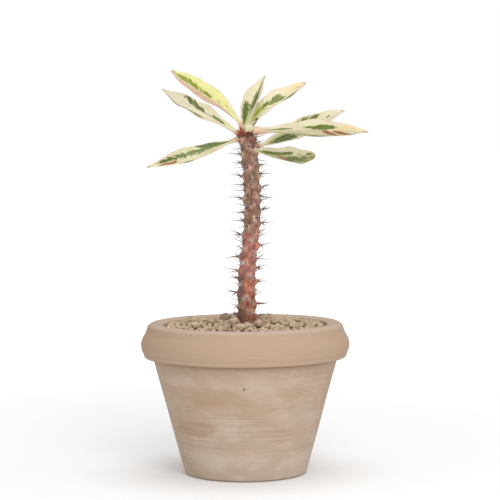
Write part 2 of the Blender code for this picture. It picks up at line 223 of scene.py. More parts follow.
# Patches on each leaf: colour, place along and across, half length, half width, and how ragged
LEAF_PATCHES = {
    "leaf_1": (
        # Leaf_1's broad lime patch over its upper half is partly its own yellow-green and partly painted
        # light: the glow of light shining through the blade.
        ("lime", 0.56, 0.55, 0.46, 0.62, 0.4), ("olive", 0.82, 0.22, 0.14, 0.32, 1.2),
        ("olive", 0.66, 0.12, 0.12, 0.20, 1.3), ("olive", 0.54, 0.12, 0.06, 0.18, 1.3),
        ("tan", 0.40, 0.24, 0.020, 0.10, 0.6), ("tan", 0.30, 0.50, 0.014, 0.09, 0.6),
        ("blush", 0.50, -0.62, 0.46, 0.46, 0.5),
    ),
    "leaf_2": (
        ("dusty", 0.84, 0.0, 0.28, 1.30, 0.4), ("grey", 0.46, 0.78, 0.09, 0.18, 0.8),
        ("grey", 0.72, 0.98, 0.16, 0.10, 0.5),
        ("dark", 0.63, -0.60, 0.075, 0.34, 0.8), ("dark", 0.52, -0.28, 0.07, 0.28, 0.7),
        ("green", 0.38, -0.06, 0.11, 0.06, 0.3), ("green", 0.24, -0.20, 0.10, 0.30, 0.5),
        ("brown", 0.73, -0.70, 0.012, 0.10, 0.3), ("lime", 0.10, -0.20, 0.07, 0.50, 0.3),
    ),
    "leaf_3": (
        ("sage", 0.40, -0.30, 0.36, 0.42, 0.8), ("moss", 0.27, -0.52, 0.18, 0.52, 0.4),
        ("grey", 0.47, -0.18, 0.16, 0.34, 0.9), ("milky", 0.46, -0.60, 0.040, 0.18, 0.6),
        ("milky", 0.64, -0.66, 0.08, 0.24, 0.6), ("moss", 0.60, -0.14, 0.07, 0.34, 1.3),
        ("dark", 0.77, -0.20, 0.13, 0.40, 1.1), ("rust", 0.79, 0.62, 0.085, 0.34, 0.6),
        ("grey", 0.60, 0.96, 0.07, 0.12, 0.8),
    ),
    "leaf_4": (
        ("sage", 0.20, 0.20, 0.18, 0.70, 0.6), ("dark", 0.28, 0.46, 0.19, 0.36, 0.6),
        ("dark", 0.54, -0.16, 0.20, 0.34, 0.8), ("dark", 0.84, -0.12, 0.12, 0.14, 0.5),
    ),
    "leaf_5": (
        ("sage", 0.20, 0.20, 0.20, 0.70, 0.6), ("green", 0.50, 0.0, 0.11, 0.48, 0.5),
        ("green", 0.36, 0.30, 0.06, 0.24, 0.6), ("olive", 0.24, 0.30, 0.10, 0.24, 0.6),
        ("straw", 0.82, 0.20, 0.16, 0.70, 0.5), ("rust", 0.86, -0.05, 0.025, 0.12, 0.6),
        ("grey", 0.66, -0.84, 0.12, 0.20, 0.7),
    ),
    "leaf_6": (
        ("sage", 0.24, 0.10, 0.20, 0.80, 0.5), ("dark", 0.27, 0.16, 0.15, 0.50, 0.5),
        ("green", 0.56, -0.66, 0.13, 0.30, 1.2), ("brown", 0.81, -0.30, 0.016, 0.12, 0.6),
    ),
    "leaf_7": (
        ("sage", 0.40, 0.74, 0.28, 0.24, 0.7), ("green", 0.21, -0.24, 0.13, 0.10, 0.5),
        ("green", 0.50, -0.34, 0.07, 0.10, 0.6), ("green", 0.62, -0.36, 0.10, 0.24, 0.5),
        ("rust", 0.655, 0.34, 0.036, 0.46, 0.30), ("rust", 0.755, 0.28, 0.044, 0.46, 0.30),
        ("green", 0.55, 0.86, 0.07, 0.16, 0.6), ("grey", 0.86, 0.90, 0.05, 0.20, 0.6),
        ("straw", 0.84, -0.50, 0.10, 0.50, 0.5),
    ),
    "leaf_8": (
        ("sage", 0.38, 0.0, 0.34, 0.50, 0.8), ("green", 0.30, -0.30, 0.26, 0.19, 0.4),
        ("green", 0.56, -0.34, 0.10, 0.14, 0.5), ("rust", 0.42, 0.28, 0.055, 0.42, 0.3),
        ("green", 0.68, 0.56, 0.18, 0.44, 1.3), ("green", 0.86, 0.40, 0.12, 0.46, 1.4),
        ("olive", 0.80, 0.86, 0.14, 0.14, 0.6), ("green", 0.93, -0.20, 0.05, 0.40, 1.2),
    ),
}

# Leaf colours: the core of a patch and the halo round it
LEAF_COLOURS = {
    "lime": ((0.76, 0.75, 0.32), (0.76, 0.73, 0.40)),
    "sage": ((0.47, 0.50, 0.22), (0.62, 0.62, 0.38)),
    "olive": ((0.25, 0.28, 0.030), (0.52, 0.52, 0.13)),
    "green": ((0.120, 0.160, 0.018), (0.36, 0.40, 0.15)),
    "dark": ((0.070, 0.108, 0.014), (0.26, 0.31, 0.10)),
    "dusty": ((0.66, 0.60, 0.44), (0.70, 0.64, 0.46)),
    "moss": ((0.115, 0.165, 0.050), (0.38, 0.43, 0.22)),
    "milky": ((0.66, 0.69, 0.44), (0.72, 0.70, 0.46)),
    "grey": ((0.150, 0.205, 0.070), (0.42, 0.46, 0.25)),
    "straw": ((0.76, 0.63, 0.34), (0.76, 0.66, 0.40)),
    "tan": ((0.62, 0.43, 0.20), (0.70, 0.58, 0.36)),
    "rust": ((0.34, 0.130, 0.05), (0.60, 0.38, 0.22)),
    "brown": ((0.19, 0.08, 0.05), (0.50, 0.34, 0.22)),
    "blush": ((0.72, 0.49, 0.32), (0.72, 0.55, 0.39)),
}
CREAM = (0.75, 0.70, 0.49)
WARM_CREAM = (0.77, 0.665, 0.47)
FRESH_GREEN = (0.60, 0.58, 0.33)
MIDRIB_GREEN = (0.62, 0.57, 0.34)
MIDRIB_CREASE_SHADE = (0.30, 0.27, 0.13)
LEAF_FLECK = (0.46, 0.46, 0.28)
RIB_GREEN = (0.60, 0.56, 0.33)
UNDERSIDE_PALE_AND_LIGHT = (0.72, 0.67, 0.50)
RIB_SLANT = 0.13
PINK_STALKS = ("leaf_1", "leaf_7")

# Stage
FLOOR_PALE = (0.87, 0.87, 0.87)
WORLD_STRENGTH = 0.415
CAMERA_TURN = -0.0027
CAMERA_ROLL = -0.0055


# --- Object helpers -------------------------------------------------------------------------------


def deselect_all():
    if bpy.context.mode != "OBJECT":
        leave_edit()
    bpy.ops.object.select_all(action="DESELECT")


def make_active(obj):
    deselect_all()
    obj.select_set(True)
    bpy.context.view_layer.objects.active = obj


def name_active(name):
    obj = bpy.context.object
    obj.name = name
    obj.data.name = name
    return obj


def primitive(name, add, **settings):
    """Add a primitive with nothing else selected, under its own name."""
    deselect_all()
    add(**settings)
    return name_active(name)


def edit_all():
    bpy.ops.object.mode_set(mode="EDIT")
    bpy.ops.mesh.select_all(action="SELECT")


def edit_top(obj):
    """Enter edit mode with only the faces that point up selected."""
    bpy.ops.object.mode_set(mode="EDIT")
    bpy.ops.mesh.select_all(action="DESELECT")
    leave_edit()
    for face in obj.data.polygons:
        face.select = face.normal.z > 0.9
    bpy.ops.object.mode_set(mode="EDIT")


def leave_edit():
    bpy.ops.object.mode_set(mode="OBJECT")


def recalculate_normals():
    bpy.ops.mesh.select_all(action="SELECT")
    bpy.ops.mesh.normals_make_consistent(inside=False)


def point_values(obj, name, values):
    """Store one number for each vertex, under a name that materials read."""
    attribute = obj.data.attributes.new(name, "FLOAT", "POINT")
    attribute.data.foreach_set("value", values)


def apply_modifiers(obj):
    make_active(obj)
    for modifier in list(obj.modifiers):
        bpy.ops.object.modifier_apply(modifier=modifier.name)


def apply_place(obj):
    make_active(obj)
    bpy.ops.object.transform_apply(location=True, rotation=True, scale=True)


def smooth(obj, angle=None):
    make_active(obj)
    if angle is None:
        bpy.ops.object.shade_smooth()
    else:
        bpy.ops.object.shade_smooth_by_angle(angle=math.radians(angle))


def join(objects, name):
    deselect_all()
    for obj in objects:
        obj.select_set(True)
    bpy.context.view_layer.objects.active = objects[0]
    bpy.ops.object.join()
    return name_active(name)


def copy_of(prototype, matrix, tone=None):
    """A copy with its own mesh, with its place in the mesh and one tone for the whole of it."""
    twin = bpy.data.objects.new(prototype.name, prototype.data.copy())
    twin.data.transform(matrix)
    if tone is not None:
        point_values(twin, "tone", [tone] * len(twin.data.vertices))
    bpy.context.scene.collection.objects.link(twin)
    return twin


def remove(objects):
    for obj in objects:
        bpy.data.objects.remove(obj, do_unlink=True)


def displace(obj, name, size, strength):
    """Roughen a surface with a cloudy texture, applied to the mesh."""
    texture = bpy.data.textures.new(name, "CLOUDS")
    texture.noise_scale = size
    texture.noise_depth = 2
    modifier = obj.modifiers.new(name, "DISPLACE")
    modifier.texture = texture
    modifier.texture_coords = "LOCAL"
    modifier.strength = strength
    apply_modifiers(obj)


def finish_piece(obj, slot, *nodes):
    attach(obj, BODY)
    if nodes:
        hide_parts(*nodes)


def turned_to(direction, spin=0.0):
    """Rotation that takes +Z to a direction, after a spin about it."""
    return direction.to_track_quat("Z", "Y").to_matrix().to_4x4() @ Matrix.Rotation(spin, 4, "Z")


def smooth_line(points, steps):
    """A smooth line through points, with so many steps between each two."""
    line = []
    last = len(points) - 1
    for index in range(last):
        before = Vector(points[max(index - 1, 0)])
        start = Vector(points[index])
        end = Vector(points[index + 1])
        after = Vector(points[min(index + 2, last)])
        for step in range(steps):
            t = step / steps
            line.append(
                0.5 * (
                    2 * start + (end - before) * t + (2 * before - 5 * start + 4 * end - after) * t * t
                    + (3 * start - before - 3 * end + after) * t ** 3
                )
            )
    line.append(Vector(points[-1]))
    return line


# --- Material helpers -----------------------------------------------------------------------------


class Nodes:
    """Short calls that add nodes to one tree and return their output sockets."""

    def __init__(self, tree):
        self.tree = tree

    def add(self, kind, inputs=None, **settings):
        node = self.tree.nodes.new(kind)
        for name, value in settings.items():
            setattr(node, name, value)
        for key, value in (inputs or {}).items():
            self.feed(node.inputs[key], value)
        return node

    def feed(self, socket, value):
        if isinstance(value, bpy.types.NodeSocket):
            self.tree.links.new(value, socket)
        elif value is not None:
            socket.default_value = (*value, 1.0) if socket.type == "RGBA" and len(value) == 3 else value

    def place(self):
        return self.add("ShaderNodeTexCoord").outputs["Object"]

    def attribute(self, name):
        return self.add("ShaderNodeAttribute", attribute_name=name).outputs["Fac"]

    def scaled(self, vector, scale, location=(0.0, 0.0, 0.0)):
        inputs = {"Vector": vector, "Scale": scale, "Location": location}
        return self.add("ShaderNodeMapping", inputs).outputs["Vector"]

    def noise(self, vector, scale, detail=3.0, roughness=0.5, distortion=0.0):
        inputs = {
            "Vector": vector, "Scale": scale, "Detail": detail,
            "Roughness": roughness, "Distortion": distortion,
        }
        return self.add("ShaderNodeTexNoise", inputs).outputs["Fac"]

    def cells(self, vector, scale, feature="F1"):
        inputs = {"Vector": vector, "Scale": scale}
        return self.add("ShaderNodeTexVoronoi", inputs, feature=feature).outputs["Distance"]

    def axes(self, vector):
        return self.add("ShaderNodeSeparateXYZ", {"Vector": vector}).outputs

    def joined(self, x, y, z):
        return self.add("ShaderNodeCombineXYZ", {"X": x, "Y": y, "Z": z}).outputs["Vector"]

    def math(self, operation, first, second=None, clamp=False):
        node = self.add("ShaderNodeMath", operation=operation, use_clamp=clamp)
        self.feed(node.inputs[0], first)
        self.feed(node.inputs[1], second)
        return node.outputs["Value"]

    def plus(self, first, second, clamp=False):
        return self.math("ADD", first, second, clamp)

    def minus(self, first, second):
        return self.math("SUBTRACT", first, second)

    def times(self, first, second):
        return self.math("MULTIPLY", first, second)

    def over(self, first, second):
        return self.math("DIVIDE", first, second)

    def length(self, vector):
        return self.add("ShaderNodeVectorMath", {0: vector}, operation="LENGTH").outputs["Value"]

    def between(self, value, low, high, bottom=0.0, top=1.0):
        """Rises smoothly from bottom to top as value goes from low to high."""
        inputs = {"Value": value, "From Min": low, "From Max": high, "To Min": bottom, "To Max": top}
        node = self.add("ShaderNodeMapRange", inputs, interpolation_type="SMOOTHSTEP")
        return node.outputs["Result"]

    def mix(self, factor, first, second):
        node = self.add("ShaderNodeMix", data_type="RGBA")
        sockets = {socket.identifier: socket for socket in node.inputs}
        self.feed(sockets["Factor_Float"], factor)
        self.feed(sockets["A_Color"], first)
        self.feed(sockets["B_Color"], second)
        return next(socket for socket in node.outputs if socket.identifier == "Result_Color")

    def tint(self, tone, colour, mask, amount):
        """Lays a colour over a tone by a mask, as strongly as amount says."""
        return self.mix(self.times(mask, amount), tone, colour)

    def bump(self, height, distance, strength=1.0, normal=None):
        inputs = {"Height": height, "Distance": distance, "Strength": strength, "Normal": normal}
        return self.add("ShaderNodeBump", inputs).outputs["Normal"]

    def shared(self, tree, **inputs):
        """Places a shared group and returns its outputs."""
        node = self.add("ShaderNodeGroup", node_tree=tree)
        for name, value in inputs.items():
            self.feed(node.inputs[name.replace("_", " ").title()], value)
        return node.outputs


def new_material(name, roughness, specular=0.3, subsurface=0.0, depth=0.001):
    """A material, its node calls and its Principled BSDF with plain settings."""
    material = bpy.data.materials.new(name)
    material.use_nodes = True
    shader = material.node_tree.nodes["Principled BSDF"]
    shader.inputs["Roughness"].default_value = roughness
    shader.inputs["Specular IOR Level"].default_value = specular
    shader.inputs["Subsurface Weight"].default_value = subsurface
    shader.inputs["Subsurface Scale"].default_value = depth
    shader.inputs["Subsurface Radius"].default_value = (1.0, 0.8, 0.4)
    return material, Nodes(material.node_tree), shader


def set_finish(nodes, shader, colour, normal=None, roughness=None):
    nodes.feed(shader.inputs["Base Color"], colour)
    nodes.feed(shader.inputs["Normal"], normal)
    nodes.feed(shader.inputs["Roughness"], roughness)


def new_group(name, inputs, outputs):
    """An empty shared group with named sockets: its tree, node calls, inputs and outputs."""
    tree = bpy.data.node_groups.new(name, "ShaderNodeTree")
    for label, kind, value in inputs:
        socket = tree.interface.new_socket(label, in_out="INPUT", socket_type=f"NodeSocket{kind}")
        socket.default_value = value
    for label, kind in outputs:
        tree.interface.new_socket(label, in_out="OUTPUT", socket_type=f"NodeSocket{kind}")
    nodes = Nodes(tree)
    start = nodes.add("NodeGroupInput").outputs
    end = nodes.add("NodeGroupOutput").inputs
    return tree, nodes, start, end


def shared_group(name, build):
    """The group of that name, built when it is first asked for."""
    return bpy.data.node_groups.get(name) or build(name)


def build_mottle(name):
    """Soft cloudy patches, from 0 to 1, with finer ones inside them."""
    tree, nodes, start, end = new_group(
        name,
        [("Place", "Vector", (0, 0, 0)), ("Size", "Float", 20.0), ("Edge", "Float", 0.12)],
        [("Mask", "Float")],
    )
    broad = nodes.noise(start["Place"], start["Size"], detail=5.0, roughness=0.6, distortion=0.6)
    low = nodes.minus(0.5, start["Edge"])
    high = nodes.plus(0.5, start["Edge"])
    nodes.feed(end["Mask"], nodes.between(broad, low, high))
    return tree


def build_grit(name):
    """Height of a gritty mineral surface: fine grain with small open pores."""
    tree, nodes, start, end = new_group(
        name,
        [("Place", "Vector", (0, 0, 0)), ("Size", "Float", 900.0)],
        [("Height", "Float"), ("Pores", "Float")],
    )
    grain = nodes.noise(start["Place"], start["Size"], detail=4.0, roughness=0.65)
    wide = nodes.times(start["Size"], 0.45)
    pores = nodes.between(nodes.cells(start["Place"], wide), 0.12, 0.32)
    nodes.feed(end["Height"], nodes.times(grain, pores))
    nodes.feed(end["Pores"], pores)
    return tree


def build_ragged_patch(name):
    """A patch on a leaf with a core and a paler halo, whose rims break up along the side veins."""
    tree, nodes, start, end = new_group(
        name,
        [
            ("Along", "Float", 0.5), ("Across", "Float", 0.0), ("Streaks", "Float", 0.5),
            ("Centre", "Vector", (0.5, 0.0, 0.0)), ("Half Size", "Vector", (0.1, 0.2, 1.0)),
            ("Ragged", "Float", 1.0),
        ],
        [("Core", "Float"), ("Halo", "Float")],
    )
    centre = nodes.axes(start["Centre"])
    half = nodes.axes(start["Half Size"])
    along = nodes.over(nodes.minus(start["Along"], centre["X"]), half["X"])
    across = nodes.over(nodes.minus(start["Across"], centre["Y"]), half["Y"])
    reach = nodes.plus(
        nodes.math("POWER", nodes.math("ABSOLUTE", along), 2.2),
        nodes.math("POWER", nodes.math("ABSOLUTE", across), 2.2),
    )
    rough = nodes.times(nodes.minus(start["Streaks"], 0.5), start["Ragged"])
    edge = nodes.plus(reach, nodes.times(rough, 7.0))
    nodes.feed(end["Core"], nodes.between(edge, 0.95, 0.85))
    nodes.feed(end["Halo"], nodes.between(edge, 1.50, 1.25))
    return tree


# --- Settings -------------------------------------------------------------------------------------


def colour(name, description, default):
    return FloatVectorProperty(
        name=name, description=description, default=default, subtype="COLOR", size=3, min=0.0, max=1.0
    )


def length(name, description, default):
    return FloatProperty(name=name, description=description, default=default, unit="LENGTH", min=0.0)


class PotSettings(PropertyGroup):
    clay: colour("Clay", "Main colour of the fired clay", (0.478, 0.336, 0.236))
    bloom: colour("Bloom", "Pale mineral bloom on the body", (0.58, 0.475, 0.388))
    # The stain colour also serves as painted shade in the band under the lip.
    stain: colour("Stain", "Darker clay in the turning lines and under the lip", (0.33, 0.215, 0.15))
    wobble: length("Wobble", "How far the thrown wall strays from round", 0.5 * MM)
    sides: IntProperty(name="Sides", description="Steps round the pot", default=160, min=32)


class GravelSettings(PropertyGroup):
    pale: colour("Pale grain", "Lightest stones", (0.71, 0.545, 0.385))
    dull: colour("Dull grain", "Darkest stones", (0.33, 0.24, 0.155))
    # This colour is painted shade: it darkens the grains where they lie deep, and the bed of fines between
    # them takes it as the shade in the gaps.
    shade: colour("Gaps", "Fines between the stones", (0.080, 0.054, 0.035))
    largest: length("Largest grain", "Radius of the largest loose grain", 3.1 * MM)
    smallest: length("Smallest grain", "Radius of the smallest loose grain", 1.1 * MM)
    seed: IntProperty(name="Seed", description="Changes how the grains fall", default=11)


class StemSettings(PropertyGroup):
    old_bark: colour("Old bark", "Orange-red bark of the lower stem", (0.60, 0.20, 0.115))
    young_bark: colour("Young bark", "Tan-brown bark of the upper stem", (0.35, 0.165, 0.105))
    # This colour is painted shade on the left side of the lower stem, away from the light.
    grey: colour("Weathered bark", "Grey-brown side of the lower stem", (0.17, 0.12, 0.09))
    spine: colour("Spine", "Colour of a spine's shaft", (0.17, 0.105, 0.105))
    cushion: length("Cushion", "How far a spine cushion stands out", 2.0 * MM)
    spine_length: length("Spine length", "Length of a long spine", 10.8 * MM)


class LeafSettings(PropertyGroup):
    thickness: length("Thickness", "Thickness of a blade beside its midrib", 0.9 * MM)
    margin: colour("Margin", "Blush along the edges and at the tip", (0.50, 0.34, 0.26))
    stalk: colour("Stalk", "Pink-red foot of a leaf", (0.60, 0.36, 0.26))


class StageSettings(PropertyGroup):
    floor: colour("Floor", "Colour of the floor", (0.84, 0.84, 0.84))
    distance: length("Camera distance", "Distance of the camera from the pot's axis", 1.3184)
    height: length("Camera height", "Height of the camera over the floor", 0.2319)
    tilt: FloatProperty(
        name="Tilt", description="How far the camera looks down", default=0.0621, subtype="ANGLE"
    )
    lens: FloatProperty(
        name="Lens", description="Focal length", default=141.93, subtype="DISTANCE_CAMERA"
    )


# --- Pot ------------------------------------------------------------------------------------------


def inner_radius(height):
    outer = FOOT_RADIUS + (NECK_RADIUS - FOOT_RADIUS) * height / LIP_BOTTOM
    return min(outer - WALL, MOUTH_RADIUS - 0.2 * MM)


def pot_outline():
    """(radius, height) from the foot up the outside, over the lip and down to the inside floor."""
    lip = RIM_RADIUS
    top = POT_HEIGHT
    body = [
        (FOOT_RADIUS - 2.4 * MM, 0.0), (FOOT_RADIUS - 1.5 * MM, 0.3 * MM),
        (FOOT_RADIUS - 0.2 * MM, 1.3 * MM), (FOOT_RADIUS + 0.5 * MM, 2.6 * MM),
        (FOOT_RADIUS + 6.8 * MM, 25.0 * MM), (FOOT_RADIUS + 13.4 * MM, 50.0 * MM),
        (NECK_RADIUS - 1.0 * MM, LIP_BOTTOM - 4.0 * MM), (NECK_RADIUS - 0.4 * MM, LIP_BOTTOM - 1.2 * MM),
        (NECK_RADIUS - 0.3 * MM, LIP_BOTTOM - 0.3 * MM),
    ]
    lip_side = [
        (NECK_RADIUS + 0.2 * MM, LIP_BOTTOM + 0.5 * MM), (lip - 4.8 * MM, LIP_BOTTOM + 0.3 * MM),
        (lip - 3.4 * MM, LIP_BOTTOM - 0.1 * MM), (lip - 2.3 * MM, LIP_BOTTOM + 0.5 * MM),
        (lip - 1.6 * MM, LIP_BOTTOM + 2.6 * MM), (lip - 1.55 * MM, LIP_BOTTOM + 3.3 * MM),
        (lip - 0.9 * MM, LIP_BOTTOM + 3.9 * MM), (lip - 0.25 * MM, LIP_BOTTOM + 6.2 * MM),
        (lip, top - 14.2 * MM), (lip - 0.3 * MM, top - 12.2 * MM), (lip - 1.0 * MM, top - 10.2 * MM),
        (lip - 2.1 * MM, top - 8.2 * MM), (lip - 3.2 * MM, top - 6.2 * MM),
        (lip - 3.9 * MM, top - 4.0 * MM), (lip - 4.7 * MM, top - 1.8 * MM),
        (lip - 6.3 * MM, top - 0.5 * MM), (lip - 8.4 * MM, top),
        (lip - 11.0 * MM, top - 0.2 * MM), (MOUTH_RADIUS + 1.6 * MM, top - 0.7 * MM),
        (MOUTH_RADIUS + 0.4 * MM, top - 1.5 * MM), (MOUTH_RADIUS, top - 3.0 * MM),
    ]
    inside = [
        (MOUTH_RADIUS - 0.2 * MM, LIP_BOTTOM), (inner_radius(FLOOR + 2 * MM), FLOOR + 2.0 * MM),
        (inner_radius(FLOOR) - 2.0 * MM, FLOOR),
    ]
    line = smooth_line([(r, 0.0, z) for r, z in body + lip_side], 3)
    return [(point.x, point.z) for point in line] + inside


def extrude_rings(outline):
    """Extrude the selected disc through (radius, height) points."""
    radius, height = outline[0]
    for wider, higher in outline[1:]:
        bpy.ops.mesh.extrude_region_move(TRANSFORM_OT_translate={"value": (0, 0, higher - height)})
        bpy.ops.transform.resize(
            value=(wider / radius, wider / radius, 1.0), center_override=(0, 0, higher)
        )
        radius, height = wider, higher


def clay_material(settings):
    """Fired clay with fine turning lines, a pale bloom, brown stains and a few pits, with painted shade
    under the lip, in the crease below it and along the foot.
    """
    material, nodes, shader = new_material("fired_clay", 0.86, specular=0.22)
    place = nodes.place()
    sideways, depth, height = nodes.axes(place)
    mottle = shared_group("mottle", build_mottle)
    grit = shared_group("grit", build_grit)
    flat = nodes.scaled(place, (1.0, 1.0, 2.2))
    flatter = nodes.scaled(place, (1.0, 1.0, 3.0), (0.2, 0.4, 0.1))
    moved = nodes.scaled(place, (1.0, 1.0, 1.9), (0.52, 0.1, 0.33))
    cloudy = nodes.shared(mottle, place=flat, size=24.0, edge=0.16)["Mask"]
    fine = nodes.shared(mottle, place=flatter, size=75.0, edge=0.14)["Mask"]
    brown = nodes.shared(mottle, place=moved, size=30.0, edge=0.07)["Mask"]
    on_body = nodes.between(height, LIP_BOTTOM, LIP_BOTTOM - 3 * MM)
    low = nodes.between(height, 52 * MM, 4 * MM)
    bloom = nodes.times(nodes.plus(nodes.times(cloudy, 0.45), 0.12), on_body)
    bloom = nodes.plus(bloom, nodes.times(low, 0.60), clamp=True)
    tone = nodes.mix(bloom, settings.clay, settings.bloom)
    tone = nodes.tint(tone, FINE_BLOOM, nodes.times(fine, on_body), 0.22)
    tone = nodes.tint(tone, BROWN_CLAY, nodes.times(brown, on_body), 0.38)
    ragged = nodes.times(nodes.noise(flat, 60.0, detail=4.0), 1.3)
    in_front = nodes.between(depth, 5 * MM, -5 * MM)
    for middle, level, wide, tall, strength, stain in CLAY_STAINS:
        across = nodes.over(nodes.minus(sideways, middle * MM), wide * MM)
        up = nodes.over(nodes.minus(height, level * MM), tall * MM)
        reach = nodes.plus(nodes.length(nodes.joined(across, up, 0.0)), ragged)
        tone = nodes.tint(tone, stain, nodes.between(reach, 1.60, 1.15, 0.0, strength), in_front)
    lines = nodes.noise(nodes.scaled(place, (8.0, 8.0, 1150.0)), 1.0, detail=3.0, roughness=0.7)
    strips = nodes.noise(nodes.scaled(place, (24.0, 24.0, 230.0), (0, 0, 0.4)), 1.0, detail=2.0)
    belt = nodes.times(nodes.between(height, 12 * MM, 24 * MM), nodes.between(height, 60 * MM, 44 * MM))
    dark_lines = nodes.times(nodes.between(lines, 0.50, 0.60), nodes.between(strips, 0.40, 0.58))
    line_depth = nodes.plus(nodes.times(nodes.times(belt, on_body), 0.26), 0.05)
    tone = nodes.tint(tone, settings.stain, dark_lines, line_depth)
    pale_lines = nodes.times(nodes.between(lines, 0.46, 0.38), nodes.between(strips, 0.42, 0.55))
    tone = nodes.tint(tone, PALE_LINE, pale_lines, nodes.between(on_body, 0.0, 1.0, 0.05, 0.16))
    # Band under the lip: partly a real stain, partly painted shade under the overhanging lip.
    lip_shade_and_stain = nodes.times(
        nodes.between(height, LIP_BOTTOM - 16 * MM, LIP_BOTTOM - 1 * MM),
        nodes.between(height, LIP_BOTTOM + 0.4 * MM, LIP_BOTTOM - 0.1 * MM),
    )
    tone = nodes.tint(tone, settings.stain, lip_shade_and_stain, 0.22)
    # Painted shade: a dark line in the crease under the lip, and a painted contact shadow along the foot.
    lip_crease_shade = nodes.times(
        nodes.between(height, LIP_BOTTOM - 2.2 * MM, LIP_BOTTOM - 0.6 * MM),
        nodes.between(height, LIP_BOTTOM + 0.9 * MM, LIP_BOTTOM + 0.1 * MM),
    )
    foot = nodes.between(height, 1.6 * MM, 0.7 * MM)
    tone = nodes.tint(tone, PAINTED_CREASE_SHADE, nodes.plus(nodes.times(lip_crease_shade, 0.5), foot), 0.60)
    rim = nodes.between(height, POT_HEIGHT - 2.5 * MM, POT_HEIGHT - 0.8 * MM, 0.0, 0.55)
    tone = nodes.mix(rim, tone, settings.bloom)
    spots = nodes.add("ShaderNodeTexVoronoi", {"Vector": place, "Scale": 55.0}).outputs
    rare = nodes.between(nodes.axes(spots["Color"])["X"], 0.82, 0.83, 1.0, 0.0)
    sound = nodes.math("MAXIMUM", nodes.between(spots["Distance"], 0.035, 0.065), rare)
    sound = nodes.math("MAXIMUM", sound, nodes.minus(1.0, on_body))
    tone = nodes.mix(sound, CLAY_PIT, tone)
    speckle = nodes.between(nodes.noise(place, 1200.0, detail=2.0), 0.60, 0.70)
    tone = nodes.tint(tone, CLAY_SPECKLE, speckle, 0.20)
    grain = nodes.shared(grit, place=place, size=1500.0)
    relief = nodes.bump(lines, 0.12 * MM, strength=0.45)
    relief = nodes.bump(strips, 0.45 * MM, strength=0.35, normal=relief)
    relief = nodes.bump(sound, 0.7 * MM, strength=0.8, normal=relief)
    relief = nodes.bump(grain["Height"], 0.18 * MM, strength=0.5, normal=relief)
    set_finish(nodes, shader, tone, relief, nodes.between(cloudy, 0.0, 1.0, 0.80, 0.93))
    return material


class EUPHORBIA_OT_pot(Operator):
    """Throw the clay pot with its rolled lip, turning lines and drain holes"""

    bl_idname = "euphorbia.pot"
    bl_label = "Clay Pot"

    def execute(self, context):
        settings = context.scene.euphorbia_pot
        outline = pot_outline()
        pot = primitive(
            "clay_pot", bpy.ops.mesh.primitive_circle_add,
            vertices=settings.sides, radius=outline[0][0], fill_type="NGON", location=(0, 0, 0),
        )
        edit_all()
        extrude_rings(outline)
        recalculate_normals()
        self.pierce(pot)
        displace(pot, "thrown_wobble", 0.06, settings.wobble)
        for vertex in pot.data.vertices:
            if vertex.co.z < 0.4 * MM:
                vertex.co.z = 0.0
        smooth(pot, 40)
        pot.data.materials.append(clay_material(settings))
        finish_piece(pot, "pot", "pot")
        return {"FINISHED"}

    def pierce(self, pot):
        for index in range(3):
            angle = math.tau * (index + 0.25) / 3
            place = (DRAIN_CIRCLE * math.cos(angle), DRAIN_CIRCLE * math.sin(angle), FLOOR / 2)
            drill = primitive(
                "drill", bpy.ops.mesh.primitive_cylinder_add,
                vertices=32, radius=DRAIN_RADIUS, depth=FLOOR * 2, location=place,
            )
            boolean = pot.modifiers.new("drain", "BOOLEAN")
            boolean.solver = "EXACT"
            boolean.object = drill
            apply_modifiers(pot)
            remove([drill])


# --- Soil and gravel ------------------------------------------------------------------------------


def soil_material():
    material, nodes, shader = new_material("potting_soil", 0.95, specular=0.15)
    place = nodes.place()
    crumbs = nodes.cells(place, 420.0)
    tone = nodes.mix(nodes.between(crumbs, 0.2, 0.7), SOIL_DARK, SOIL_CRUMB)
    tone = nodes.mix(nodes.between(nodes.noise(place, 700.0, detail=1.0), 0.68, 0.72), tone, SOIL_FLECK)
    set_finish(nodes, shader, tone, nodes.bump(crumbs, 1.2 * MM, strength=0.8))
    return material


def stone_material(name, settings):
    """Dry pumice-like stone, one tone for each grain, with pores and flecks, and painted shade where it lies
    deep.
    """
    material, nodes, shader = new_material(name, 0.93, specular=0.2)
    place = nodes.place()
    tone = nodes.mix(nodes.attribute("tone"), settings.dull, settings.pale)
    cloudy = nodes.shared(shared_group("mottle", build_mottle), place=place, size=260.0, edge=0.16)["Mask"]
    tone = nodes.tint(tone, STONE_CLOUD, cloudy, 0.30)
    surface = nodes.shared(shared_group("grit", build_grit), place=place, size=900.0)
    tone = nodes.mix(nodes.between(surface["Pores"], 0.0, 1.0, 0.45, 0.0), tone, STONE_PORE)
    flecks = nodes.between(nodes.noise(place, 1500.0, detail=1.0), 0.66, 0.72)
    tone = nodes.tint(tone, STONE_FLECK, flecks, 0.5)
    # Painted shade: each grain darkens toward the gaps' colour the deeper it lies below the gravel's
    # surface.
    x, y, z = nodes.axes(place)
    spread = nodes.plus(nodes.math("POWER", x, 2.0), nodes.math("POWER", y, 2.0))
    bowl = nodes.times(spread, (GRAVEL_MIDDLE - GRAVEL_EDGE) / MOUTH_RADIUS ** 2)
    depth = nodes.minus(nodes.minus(GRAVEL_MIDDLE, bowl), z)
    tone = nodes.mix(nodes.between(depth, -0.1 * MM, 2.5 * MM, 0.0, 0.86), tone, settings.shade)
    lumps = nodes.noise(place, 420.0, detail=3.0, roughness=0.6)
    relief = nodes.bump(lumps, 0.9 * MM, strength=0.6)
    relief = nodes.bump(surface["Height"], 0.30 * MM, strength=0.7, normal=relief)
    set_finish(nodes, shader, tone, relief)
    return material


